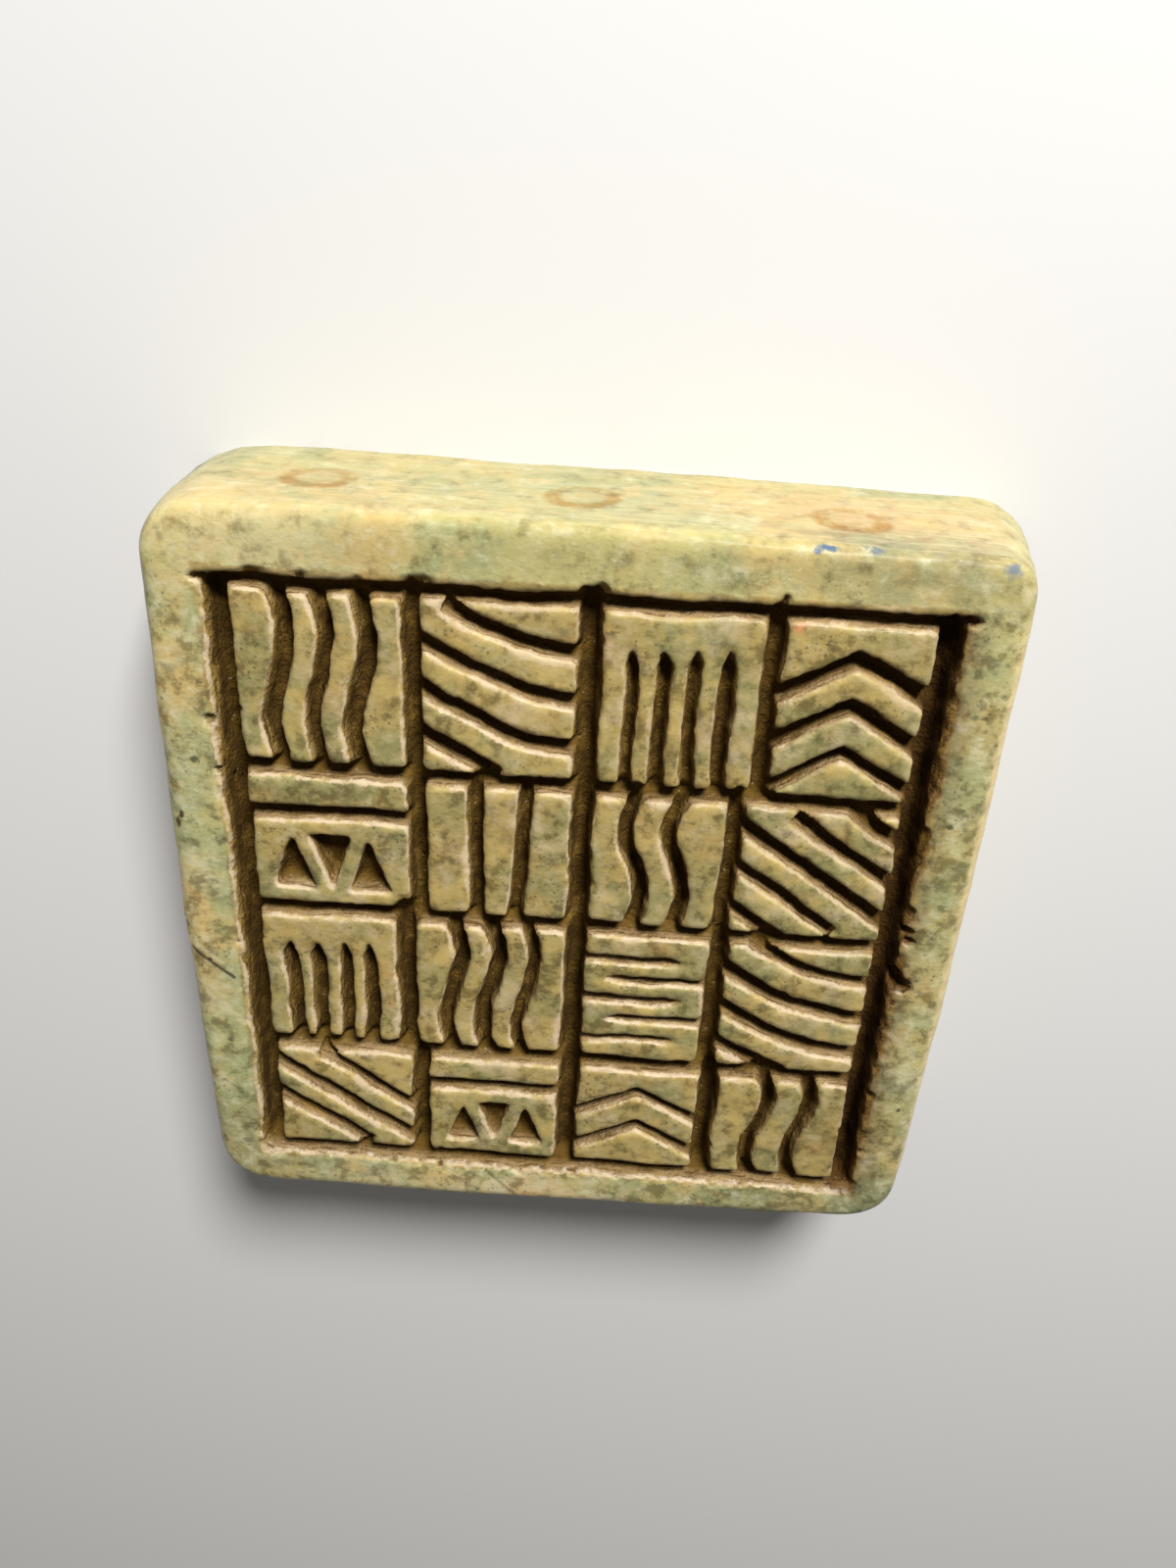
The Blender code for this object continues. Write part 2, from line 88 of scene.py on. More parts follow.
def maths(operation: str, turned: bool = False) -> Callable[..., "Value"]:
    """Make an operator that adds a Math node.

    Args:
        operation: What the node does.
        turned: Whether its two numbers change places, as a reflected operator needs.

    Returns:
        The operator.
    """

    def operator(value: "Value", other: Any = 0.0) -> "Value":
        """Add the node and give its result."""
        first, second = (other, value) if turned else (value, other)
        return value.shader.node("ShaderNodeMath", {"operation": operation}, {0: first, 1: second})

    return operator


class Value:
    """A number that runs through a shader, on which sums are written as in Python."""

    def __init__(self, shader: "Shader", socket: bpy.types.NodeSocket) -> None:
        """Keep the socket that gives the number.

        Args:
            shader: The shader that the socket is in.
            socket: The output that gives the number.
        """
        self.shader = shader
        self.socket = socket

    __add__ = maths("ADD")
    __radd__ = maths("ADD", turned=True)
    __sub__ = maths("SUBTRACT")
    __rsub__ = maths("SUBTRACT", turned=True)
    __mul__ = maths("MULTIPLY")
    __rmul__ = maths("MULTIPLY", turned=True)
    __truediv__ = maths("DIVIDE")
    __pow__ = maths("POWER")
    __abs__ = maths("ABSOLUTE")
    most = maths("MAXIMUM")
    least = maths("MINIMUM")
    whole = maths("ROUND")


class Shader:
    """A material's node tree and the few ways in which nodes are added to it."""

    def __init__(self, name: str) -> None:
        """Make a material with a plain surface.

        Args:
            name: The material's name.
        """
        self.material = bpy.data.materials.new(name)
        self.material.use_nodes = True
        self.tree = self.material.node_tree
        self.surface = self.tree.nodes["Principled BSDF"]

    def feed(self, node: bpy.types.Node, sockets: Mapping[Any, Any]) -> None:
        """Link or set inputs of a node.

        Args:
            node: The node.
            sockets: A Value, a number, a colour or a vector for each, by name or number.
        """
        for name, value in sockets.items():
            socket = node.inputs[name]
            if isinstance(value, Value):
                self.tree.links.new(value.socket, socket)
            elif socket.type == "RGBA" and len(value) == 3:
                socket.default_value = (*value, 1.0)
            else:
                socket.default_value = value

    def node(
        self,
        kind: str,
        settings: Mapping[str, Any] | None = None,
        sockets: Mapping[Any, Any] | None = None,
        output: Any = 0,
    ) -> Value:
        """Add a node.

        Args:
            kind: The node's type.
            settings: Its settings, which are set first.
            sockets: What goes into its inputs, by name or number.
            output: The output to use, by name or number.

        Returns:
            That output.
        """
        made = self.tree.nodes.new(kind)
        for name, setting in (settings or {}).items():
            setattr(made, name, setting)
        self.feed(made, sockets or {})
        return Value(self, made.outputs[output])

    def vector(self, operation: str, sockets: Mapping[Any, Any], output: Any = 0) -> Value:
        """Add a Vector Math node with this operation and these inputs, and give an output."""
        return self.node("ShaderNodeVectorMath", {"operation": operation}, sockets, output)

    def millimetres(self) -> Value:
        """Give the place on the object, in millimetres."""
        place = self.node("ShaderNodeTexCoord", output="Object")
        return self.vector("MULTIPLY", {0: place, 1: (1 / MM,) * 3})

    def axes(self, place: Value) -> tuple[Value, Value, Value]:
        """Split a place into its three numbers."""
        parts = [self.node("ShaderNodeSeparateXYZ", None, {0: place}, axis) for axis in range(3)]
        return parts[0], parts[1], parts[2]

    def cells(self, place: Value, scale: float) -> Value:
        """Give the distance to the nearest of many scattered points."""
        sockets = {"Vector": place, "Scale": scale}
        return self.node("ShaderNodeTexVoronoi", None, sockets, "Distance")

    def ease(self, value: Value, low: float, high: float, most: float = 1.0) -> Value:
        """Rise smoothly from 0, or fall to 0 where low is above high.

        Args:
            value: The number.
            low: Where the rise starts.
            high: Where it ends.
            most: What it rises to.

        Returns:
            A number from 0 to the most.
        """
        settings = {"interpolation_type": "SMOOTHSTEP", "clamp": False}
        sockets = {"Value": value, "From Min": low, "From Max": high, "To Max": most}
        return self.node("ShaderNodeMapRange", settings, sockets)

    def blend(self, first: Any, second: Any, share: Any, kind: str = "MIX") -> Value:
        """Blend two colours by the share of the second, in a given way of blending."""
        settings = {"data_type": "RGBA", "blend_type": kind}
        return self.node("ShaderNodeMix", settings, {0: share, 6: first, 7: second}, 2)

    def mark(self, mark: Mark) -> Value:
        """Read one of the marks that the slab's vertices keep."""
        return self.node("ShaderNodeAttribute", {"attribute_name": mark.value}, None, "Fac")


@dataclass(frozen=True)
class Lie:
    """How a pattern lies in the stone: its stretch, its shift and its turn in degrees."""

    stretch: Triple
    shift: Triple
    turn: float = 0.0

    def moved(self, shader: Shader, place: Value) -> Value:
        """Give the place in the pattern.

        Args:
            shader: The shader.
            place: The place in millimetres.

        Returns:
            The place in the pattern.
        """
        if not self.turn:
            return shader.vector("MULTIPLY_ADD", {0: place, 1: self.stretch, 2: self.shift})
        angles = (0.0, 0.0, math.radians(self.turn))
        sockets = {"Vector": place, "Location": self.shift, "Rotation": angles}
        return shader.node("ShaderNodeMapping", None, {**sockets, "Scale": self.stretch})


@dataclass(frozen=True)
class Pattern:
    """Soft clouds in the stone: how fine they are, and the part of their range that shows."""

    scale: float
    detail: float = 2.0
    rough: float = 0.5
    twist: float = 0.0
    low: float = 0.0
    high: float = 1.0
    most: float = 1.0
    lie: Lie | None = None

    def clouds(self, shader: Shader, place: Value) -> Value:
        """Give the clouds.

        Args:
            shader: The shader.
            place: The place in millimetres.

        Returns:
            A number round a half.
        """
        place = self.lie.moved(shader, place) if self.lie else place
        sockets = {"Vector": place, "Scale": self.scale, "Detail": self.detail}
        sockets |= {"Roughness": self.rough, "Distortion": self.twist}
        return shader.node("ShaderNodeTexNoise", None, sockets, "Fac")

    def share(self, shader: Shader, place: Value) -> Value:
        """Give how much of the pattern shows, from 0 to its most."""
        return shader.ease(self.clouds(shader, place), self.low, self.high, self.most)


@dataclass(frozen=True)
class Patch:
    """A soft patch of one colour in the stone, in millimetres."""

    middle: Triple
    reach: Triple
    colour: Colour
    share: float = 1.0

    def distance(self, shader: Shader, place: Value) -> Value:
        """Give the distance to the patch's middle.

        Args:
            shader: The shader.
            place: The place in millimetres.

        Returns:
            The distance, as a share of the patch's reach on each axis.
        """
        scale = tuple(1 / size for size in self.reach)
        shift = tuple(-centre / size for centre, size in zip(self.middle, self.reach))
        gap = shader.vector("MULTIPLY_ADD", {0: place, 1: scale, 2: shift})
        return shader.vector("LENGTH", {0: gap}, "Value")


@dataclass(frozen=True)
class Line:
    """A fine line on the carved face, from one place to another, in millimetres."""

    start: Pair
    end: Pair
    width: float

    def distance(self, shader: Shader, flat: Value) -> Value:
        """Give the distance to the line.

        Args:
            shader: The shader.
            flat: The place in millimetres, with no height.

        Returns:
            The distance, as a share of the line's width.
        """
        run = (self.end[0] - self.start[0], self.end[1] - self.start[1], 0.0)
        square = run[0] ** 2 + run[1] ** 2
        share = (run[0] / square, run[1] / square, 0.0)
        gap = shader.vector("SUBTRACT", {0: flat, 1: (*self.start, 0.0)})
        along = shader.vector("DOT_PRODUCT", {0: gap, 1: share}, "Value")
        nearest = shader.vector("SCALE", {0: run, "Scale": along.most(0.0).least(1.0)})
        return shader.vector("DISTANCE", {0: gap, 1: nearest}, "Value") / self.width


class Skin:
    """The stone's colour, as one layer after another is laid on it, and what the layers share."""

    UNEVEN = Pattern(0.9, 3.0)
    RAGGED = Pattern(2.2, 3.0)
    CHAFED = Pattern(1.4, 4.0, 0.6)
    SPECKS_PER_MM = 2.3

    def __init__(self, shader: Shader, ground: Colour) -> None:
        """Start with a plain ground.

        Args:
            shader: The shader.
            ground: The first colour.
        """
        self.shader = shader
        self.colour: Any = ground
        self.place = shader.millimetres()
        self.across, self.along, self.up = shader.axes(self.place)
        self.cells = shader.cells(self.place, self.SPECKS_PER_MM)
        self.patchy = self.clouds(self.UNEVEN)
        self.uneven = self.patchy - 0.5
        self.ragged = self.clouds(self.RAGGED) - 0.5
        self.chafed = self.clouds(self.CHAFED) - 0.5
        self.sunk = shader.mark(Mark.SUNK)
        self.cut = shader.ease(self.sunk, 0.04, 0.30)

    def clouds(self, pattern: Pattern) -> Value:
        """Give a pattern's clouds on the stone."""
        return pattern.clouds(self.shader, self.place)

    def share(self, pattern: Pattern) -> Value:
        """Give how much of a pattern shows on the stone."""
        return pattern.share(self.shader, self.place)

    def lay(self, colour: Any, share: Any, kind: str = "MIX") -> None:
        """Lay a colour over the stone, by a share from 0 to 1."""
        self.colour = self.shader.blend(self.colour, colour, share, kind)

    def tint(self, colour: Any, share: Any) -> None:
        """Multiply the stone's colour by another, by a share from 0 to 1."""
        self.lay(colour, share, "MULTIPLY")

    def daub(self, patches: Iterable[Patch], ragged: Value, edge: Pair, kind: str = "MIX") -> None:
        """Lay patches over the stone.

        Args:
            patches: The patches.
            ragged: What their edges stray by, as a share of their reach.
            edge: Where they end and where they are full, as shares of their reach.
            kind: The way of blending.
        """
        for patch in patches:
            gap = patch.distance(self.shader, self.place) + ragged
            self.lay(patch.colour, self.shader.ease(gap, *edge, patch.share), kind)


@dataclass(frozen=True)
class SealStone:
    """The soft green stone's finish: stains, dirt, powder, and painted light and shade."""

    celadon: Colour = (0.330, 0.340, 0.155)
    straw: Colour = (0.450, 0.390, 0.155)
    tan: Colour = (0.520, 0.370, 0.140)
    pale: Colour = (0.560, 0.530, 0.330)
    sea: Colour = (0.250, 0.310, 0.175)
    sand: Colour = (0.560, 0.460, 0.225)
    buff: Colour = (0.560, 0.450, 0.230)
    fawn: Colour = (0.540, 0.420, 0.220)
    drab: Colour = (0.470, 0.390, 0.210)
    smoke: Colour = (0.150, 0.145, 0.072)
    speck: Colour = (0.055, 0.058, 0.032)
    shade: Colour = (0.500, 0.480, 0.420)
    handled: Colour = (0.780, 0.670, 0.560)
    wall_dirt: Colour = (0.260, 0.155, 0.028)
    # Dirt on cut walls that face the light, with a paler painted lit tone.
    lit_wall_dirt: Colour = (0.280, 0.180, 0.080)
    caked: Colour = (0.360, 0.290, 0.170)
    # Dark dirt on the cut floors, also standing for painted shade in the deepest cuts.
    floor_dirt_and_shade: Colour = (0.115, 0.062, 0.008)
    # Darkens the cuts along the right channel.
    right_cut_darkening: Colour = (0.540, 0.460, 0.340)
    # Darkens the floors of the cuts that run up and down the face.
    upright_cut_darkening: Colour = (0.480, 0.430, 0.360)
    golden: Colour = (0.470, 0.340, 0.110)
    # Brown darkening laid on the stroke-top edges away from the light: painted shade.
    painted_shade: Colour = (0.500, 0.420, 0.300)
    # Pale powder, also laid as a painted highlight on lit edges and as painted glints in the cuts.
    powder_and_highlight: Colour = (0.590, 0.460, 0.300)
    rust: Colour = (0.740, 0.520, 0.210)
    worn: Colour = (0.780, 0.700, 0.440)
    inner_brown: Colour = (0.780, 0.700, 0.700)
    rubbed_tan: Colour = (0.800, 0.620, 0.340)
    blue: Colour = (0.055, 0.105, 0.185)
    red: Colour = (0.700, 0.330, 0.150)
    burnt: Colour = (0.055, 0.022, 0.008)
    vein: Colour = (0.045, 0.036, 0.022)
    chalk: Colour = (0.620, 0.590, 0.420)
    straw_clouds: Pattern = Pattern(0.13, 3.0, twist=0.6, low=0.40, high=0.58)
    patch_edges: Pattern = Pattern(0.42, 4.0, 0.6, 0.8)
    warm: Pattern = Pattern(
        1.0, 4.0, 0.6, 0.0, 0.50, 0.72, 1.0, Lie((0.30, 0.34, 0.34), (7.0, 3.0, 1.0), 20.0)
    )
    milky: Pattern = Pattern(0.55, 5.0, 0.66, low=0.52, high=0.72)
    mottling: Pattern = Pattern(0.80, 5.0, 0.64)
    cool: Pattern = Pattern(
        1.0, 5.0, 0.68, 0.0, 0.52, 0.72, 0.55, Lie((0.55, 0.75, 0.70), (2.0, 9.0, 4.0), -30.0)
    )
    clusters: Pattern = Pattern(0.26, 2.0, low=0.44, high=0.62)
    smudges: Pattern = Pattern(
        0.8, 3.0, 0.55, low=0.56, high=0.68, lie=Lie((1.2, 1.9, 1.6), (5.0, 1.0, 8.0), 35.0)
    )
    fibres: Pattern = Pattern(1.0, 3.0, 0.6, 0.4, lie=Lie((1.3, 4.6, 4.0), (1.0, 7.0, 3.0), 42.0))
    speck_edges: Pattern = Pattern(4.0, 2.0)
    fine: Pattern = Pattern(3.0, 4.0, 0.65)
    amber: Pattern = Pattern(0.36, 4.0, 0.6, low=0.50, high=0.66)
    rubbed: Pattern = Pattern(
        1.0, 5.0, 0.66, low=0.52, high=0.70, lie=Lie((0.34, 0.34, 0.34), (6.0, 4.0, 9.0))
    )
    cut_streaks: Pattern = Pattern(1.0, 4.0, 0.6, lie=Lie((0.45, 0.45, 4.5), (1.0, 2.0, 3.0)))
    side_streaks: Pattern = Pattern(
        1.0, 4.0, 0.6, 0.3, low=0.44, high=0.66, lie=Lie((0.16, 1.3, 2.4), (0.0, 4.0, 2.0))
    )
    grain: Pattern = Pattern(2.2, 4.0, 0.58)
    cut_grain: Pattern = Pattern(3.0, 4.0, 0.62)
    cut_lines: Pattern = Pattern(1.0, 2.0, lie=Lie((0.5, 0.5, 6.0), (1.0, 2.0, 3.0)))
    sanding: Pattern = Pattern(1.0, 3.0, low=0.35, high=0.70, most=0.030)
    veins: tuple[Line, ...] = (
        Line((-24.9, -3.9), (-22.3, -6.1), 0.12),
        Line((-5.0, -22.6), (-2.4, -25.4), 0.11),
    )
    vein_edge: Line = Line((-24.7, -3.4), (-22.4, -5.4), 0.16)
    ringed_side: Pair = (25.6, 26.2)
    ring_middle: Pair = (-0.23, 7.47)
    ring_spacing: Pair = (15.65, 0.525)
    ring_radius: float = 1.8
    gloss_roughness: float = 0.33
    refraction: float = 1.5
    base_gloss: float = 0.15

    def patches(self) -> tuple[Patch, ...]:
        """List the patches that stand out on the border and on the ringed side."""
        return (
            Patch((-17.5, 25.0, 11.0), (9.5, 4.6, 8.0), self.sand, 0.75),
            Patch((-11.5, 24.5, 11.0), (4.0, 3.0, 6.0), self.tan, 0.50),
            Patch((-23.8, 17.0, 12.0), (2.8, 6.0, 6.0), self.tan, 0.85),
            Patch((-26.0, 20.5, 12.0), (2.6, 4.2, 6.0), self.sea, 0.40),
            Patch((-25.0, 9.0, 12.0), (3.2, 3.0, 6.0), self.sea, 0.60),
            Patch((-24.6, 2.0, 12.0), (3.0, 3.2, 5.0), self.pale, 0.45),
            Patch((-24.5, -1.6, 12.0), (2.8, 4.4, 5.0), self.tan, 0.80),
            Patch((-24.5, -8.0, 12.0), (3.0, 2.6, 5.0), self.buff, 0.65),
            Patch((-24.0, -20.5, 12.0), (4.5, 5.0, 5.0), self.sea, 0.35),
            Patch((4.0, 25.0, 12.0), (9.0, 3.4, 6.0), self.straw, 0.45),
            Patch((3.0, 26.5, 9.0), (7.0, 2.0, 4.0), self.sea, 0.35),
            Patch((-2.0, -24.6, 12.0), (8.5, 3.0, 5.0), self.fawn, 0.65),
            Patch((-13.5, -24.6, 12.0), (3.0, 3.0, 5.0), self.drab, 0.45),
            Patch((16.0, 27.0, 6.5), (13.0, 2.5, 5.0), self.tan, 0.75),
            Patch((24.2, 23.0, 12.0), (3.0, 3.6, 5.0), self.straw, 0.60),
            Patch((24.4, 16.0, 12.0), (2.8, 2.6, 5.0), self.tan, 0.50),
            Patch((26.2, 7.0, 12.0), (2.0, 10.0, 5.0), self.tan, 0.60),
            Patch((24.0, -3.5, 12.0), (2.6, 2.6, 5.0), self.tan, 0.45),
            Patch((24.0, -10.8, 12.0), (2.6, 2.0, 4.0), self.pale, 0.50),
            Patch((24.6, -22.6, 12.0), (5.5, 4.6, 6.0), self.sea, 0.55),
            Patch((-2.2, -25.4, 12.0), (1.9, 1.3, 3.0), self.tan, 0.95),
            Patch((-15.0, -23.3, 12.6), (1.2, 0.9, 2.0), self.tan, 0.70),
        )

    def tones_and_painted_light(self) -> tuple[Patch, ...]:
        """List soft patches that multiply the stone's colour: tone, and painted light and shade.
        """
        return (
            Patch((23.0, -20.5, 12.0), (9.0, 9.0, 9.0), (0.70, 0.68, 0.66)),
            Patch((13.0, -25.5, 12.0), (9.0, 5.0, 6.0), (0.78, 0.76, 0.74)),
            Patch((18.0, 25.5, 12.0), (10.0, 4.0, 4.0), (0.72, 0.70, 0.74)),
            Patch((0.0, 24.6, 12.2), (14.0, 2.4, 1.6), (0.80, 0.82, 0.80)),
            Patch((-22.5, -23.0, 12.0), (6.5, 6.5, 6.0), (0.80, 0.76, 0.77)),
            # Painted shade: the whole ringed side darkened.
            Patch((0.0, 27.2, 6.5), (90.0, 1.7, 20.0), (0.90, 0.86, 0.82)),
            Patch((-17.0, 27.0, 9.2), (7.0, 1.8, 4.5), (0.95, 0.86, 0.72)),
            Patch((18.5, 27.0, 8.0), (10.0, 1.8, 9.0), (0.93, 0.89, 0.97)),
            Patch((-12.5, 24.6, 12.0), (5.0, 2.8, 2.0), (0.90, 0.86, 0.78)),
            Patch((-23.6, 1.0, 12.0), (2.6, 5.5, 3.0), (1.16, 1.10, 1.06)),
            Patch((-23.6, 10.8, 12.0), (2.6, 2.2, 3.0), (1.20, 1.08, 1.10)),
            Patch((-6.0, -24.6, 12.0), (14.0, 2.4, 3.0), (1.16, 1.10, 1.14)),
            Patch((23.8, 4.0, 12.0), (2.4, 20.0, 3.0), (0.87, 0.87, 0.86)),
            # Painted light: the lower left of the face lightened.
            Patch((-12.0, -12.0, 13.0), (13.0, 13.0, 4.0), (1.14, 1.13, 1.13)),
        )

    def dabs(self) -> tuple[Patch, ...]:
        """List the small stains and dark spots of the border."""
        return (
            Patch((13.5, 26.2, 12.7), (0.85, 0.42, 0.42), self.blue, 0.90),
            Patch((12.9, 26.0, 12.9), (0.35, 0.25, 0.30), self.blue, 0.80),
            Patch((16.1, 26.2, 12.6), (0.75, 0.45, 0.42), self.blue, 0.60),
            Patch((19.6, 26.2, 12.6), (0.60, 0.40, 0.40), self.blue, 0.28),
            Patch((23.6, 25.5, 12.8), (0.60, 0.60, 0.50), self.blue, 0.70),
            Patch((20.25, 2.55, 12.9), (0.28, 0.40, 0.50), self.blue, 0.80),
            Patch((17.9, 18.8, 12.9), (1.00, 0.30, 0.40), self.blue, 0.22),
            Patch((12.5, 21.6, 12.9), (0.56, 0.44, 0.60), self.red, 0.75),
            Patch((-24.35, 6.5, 12.9), (0.24, 0.36, 0.90), self.burnt, 0.95),
            Patch((-24.65, 6.0, 12.7), (0.24, 0.42, 0.90), self.burnt, 0.90),
            Patch((-23.78, -4.72, 13.0), (0.22, 0.18, 0.50), self.vein, 0.95),
            Patch((23.25, 16.7, 13.0), (0.30, 0.24, 0.50), self.smoke, 0.90),
            Patch((-23.1, 10.6, 13.0), (0.30, 0.30, 0.50), self.speck, 0.80),
            Patch((23.25, 9.3, 13.0), (0.34, 0.24, 0.50), self.speck, 0.80),
            Patch((24.05, -13.75, 13.0), (0.17, 0.17, 0.50), self.speck, 0.90),
            Patch((-23.05, -11.5, 13.0), (0.32, 0.36, 0.50), self.speck, 0.70),
            Patch((-22.75, -21.3, 13.0), (0.75, 0.42, 0.50), self.smoke, 0.75),
            Patch((-20.3, -23.4, 13.0), (0.95, 0.50, 0.60), self.smoke, 0.60),
        )

    def body(self, skin: Skin) -> None:
        """Colour the clean stone, with soft painted light and shade over broad parts.

        Args:
            skin: The stone's skin.
        """
        ease = skin.shader.ease
        skin.lay(self.straw, skin.share(self.straw_clouds))
        ragged = (skin.clouds(self.patch_edges) - 0.5) * 2.4
        skin.daub(self.patches(), ragged, (1.15, 0.30))
        # Soft tone and painted light and shade, multiplied over broad parts.
        skin.daub(self.tones_and_painted_light(), ragged * 0.4, (1.2, 0.2), "MULTIPLY")
        calm = ease(skin.along, 21.0, 24.0)
        flat_side = ease(skin.along, 25.5, 26.4)
        quiet = 1 - flat_side * 0.65
        skin.lay(self.tan, skin.share(self.warm) * 0.65)
        skin.lay(self.pale, skin.share(self.milky) * 0.55)
        mottle = (skin.clouds(self.mottling) - 0.5) * (1.25 - calm * 0.50 - flat_side * 0.20)
        skin.tint(self.shade, ease(mottle, 0.02, -0.17))
        skin.lay(self.pale, ease(mottle, 0.04, 0.20, 0.55))
        skin.lay(self.smoke, skin.share(self.cool) * quiet * (1 - calm * 0.4))
        cluster = skin.share(self.clusters)
        smudge = skin.share(self.smudges) * (cluster * 0.34 + 0.10)
        skin.lay(self.speck, smudge * (1 - calm * 0.8) * quiet)
        fibre = skin.clouds(self.fibres)
        skin.lay(self.pale, ease(fibre, 0.56, 0.70, 0.30))
        skin.lay(self.smoke, ease(fibre, 0.44, 0.30, 0.28) * quiet)
        speck = ease(skin.cells + (skin.clouds(self.speck_edges) - 0.5) * 0.5, 0.27, 0.12)
        speck = speck * (cluster * 0.55 + 0.04)
        skin.lay(self.speck, speck * (1 - calm * 0.6) * quiet)

    def outer_arrises(self, skin: Skin) -> None:
        """Streak the ringed side, wear its lower arris and work the right border.

        The right border is browned towards the field, and its outer arris is rubbed pale.

        Args:
            skin: The stone's skin.
        """
        ease, along, up = skin.shader.ease, skin.along, skin.up
        ringed_side = ease(along, *self.ringed_side) * ease(up, 13.0, 12.3)
        skin.lay(self.pale, skin.share(self.side_streaks) * ringed_side * 0.25)
        arris = ease(up + skin.chafed * 0.9, 0.75, 0.25) * ease(up, -0.05, 0.05)
        skin.lay(self.worn, arris * ease(along, *self.ringed_side, 0.75))
        across = skin.across + skin.chafed * 0.9
        reach = ease(abs(along), 23.5, 21.5) * ease(up, 11.5, 12.2)
        inner = ease(across, 23.8, 22.5) * reach * ease(skin.across, 20.5, 21.5)
        skin.tint(self.inner_brown, inner)
        skin.lay(self.rubbed_tan, ease(across, 24.75, 25.25) * reach * 0.50)

    def ring_stain(self, skin: Skin) -> Value:
        """Give where the drilled rings are stained.

        Args:
            skin: The stone's skin.

        Returns:
            A share from 0 to 1.
        """
        ease, ragged = skin.shader.ease, skin.ragged * 0.5
        patchy = ease(skin.patchy, 0.30, 0.52, 0.75) + 0.25
        ring = ((skin.across - self.ring_middle[0]) / self.ring_spacing[0]).whole()
        gap_x = skin.across - self.ring_middle[0] - ring * self.ring_spacing[0]
        gap_z = skin.up - self.ring_middle[1] - ring * self.ring_spacing[1]
        from_middle = (gap_x * gap_x + gap_z * gap_z) ** 0.5
        line = ease(abs(from_middle - self.ring_radius) + ragged, 0.78, 0.22)
        inner = ease(from_middle + ragged, 2.5, 1.0, 0.18)
        near = ease(gap_z, -1.8, 0.8, 0.40) + 0.60
        return (line * near).most(inner) * patchy * ease(skin.along, 24.0, 25.0)

    def stains(self, skin: Skin) -> None:
        """Lay the small stains and the dark veins over the stone.

        Args:
            skin: The stone's skin.
        """
        shader, ease = skin.shader, skin.shader.ease
        skin.tint(self.rust, self.ring_stain(skin))
        wobble = skin.ragged * 1.6
        skin.daub(self.dabs(), wobble, (1.1, 0.4))
        flat = shader.vector("MULTIPLY", {0: skin.place, 1: (1.0, 1.0, 0.0)})
        faint = ease(skin.along, -15.0, -10.0, 0.45) + 0.40
        for vein in self.veins:
            gap = vein.distance(shader, flat) + wobble * 0.85
            skin.lay(self.vein, ease(gap, 1.7, 0.7) * faint)
        gap = self.vein_edge.distance(shader, flat) + wobble * 0.5
        skin.lay(self.chalk, ease(gap, 1.3, 0.5, 0.28))

    def wall(self, skin: Skin, fine: Value, streak: Value) -> Value:
        """Colour the dirty walls of the cuts, with painted light where they face the light and
        near their tops.

        Args:
            skin: The stone's skin.
            fine: The fine pattern, round 0.
            streak: The streaks along the cuts, round 0.

        Returns:
            The colour.
        """
        shader, ease = skin.shader, skin.shader.ease
        # Walls facing the light get a paler tone: dirt with painted light.
        wall = shader.blend(self.wall_dirt, self.lit_wall_dirt, shader.mark(Mark.LIT_WALL))
        caked = ease(streak + fine * 0.6, -0.02, 0.14)
        wall = shader.blend(wall, self.caked, caked, "MULTIPLY")
        wall = shader.blend(wall, self.golden, ease(streak + fine * 0.8, -0.08, -0.26, 0.55))
        # Pale crumbs thinning with depth: powder, with painted light on the walls' upper parts.
        crumbs_and_light = ease(fine + skin.uneven * 0.3 - streak * 0.4, 0.02, 0.16)
        return shader.blend(wall, self.powder_and_highlight, crumbs_and_light * ease(skin.sunk, 0.60, 0.10) * 0.60)

    def use(self, skin: Skin) -> None:
        """Lay on what use and burial left: handling on the strokes, dirt in the cuts, powder.

        Some of it is painted light and shade: shade on the shaded stroke edges and deep floors,
        highlights on the lit edges and glints in the walls.

        Args:
            skin: The stone's skin.
        """
        shader, ease, uneven, sunk = skin.shader, skin.shader.ease, skin.uneven, skin.sunk
        score, top = shader.mark(Mark.SCORE), shader.mark(Mark.STROKE_TOP)
        fine = skin.clouds(self.fine) - 0.5
        streak = skin.clouds(self.cut_streaks) - 0.5
        skin.tint(self.handled, top)
        skin.lay(self.golden, skin.share(self.amber) * top * 0.65)
        skin.lay(self.powder_and_highlight, skin.share(self.rubbed) * top * 0.38)
        # Painted shade: darken the stroke-top edges on the side away from the light.
        painted_shade = shader.mark(Mark.GRIME) + uneven * 0.5 + fine * 0.5
        skin.tint(self.painted_shade, ease(painted_shade, 0.10, 0.75, 0.9))
        walls = ease(sunk + uneven * 0.15 + fine * 0.10, 0.03, 0.20)
        skin.lay(self.wall(skin, fine, streak), walls * 0.96)
        # Cut floors darken the deeper they lie: dirt, with painted shade.
        floors = ease(sunk + uneven * 0.36 + fine * 0.35 + score * 0.07, 0.16, 0.86)
        scored = ease(score + fine * 2.0, 0.8, 2.2, 0.6)
        skin.lay(shader.blend(self.floor_dirt_and_shade, self.wall_dirt, scored), floors * 0.97)
        # Painted glints: small pale flecks in the cut walls.
        glint_flecks = ease(skin.cells + uneven * 0.5, 0.14, 0.04)
        skin.lay(self.powder_and_highlight, glint_flecks * walls * 0.40)
        # Darker on the floors of cuts that run up and down the face.
        upright_dark = shader.mark(Mark.UPRIGHT) * ease(sunk + fine * 0.3, 0.35, 0.75)
        upright_dark = upright_dark * ease(uneven + streak * 0.5, -0.16, 0.06)
        skin.tint(self.upright_cut_darkening, upright_dark * 0.85)
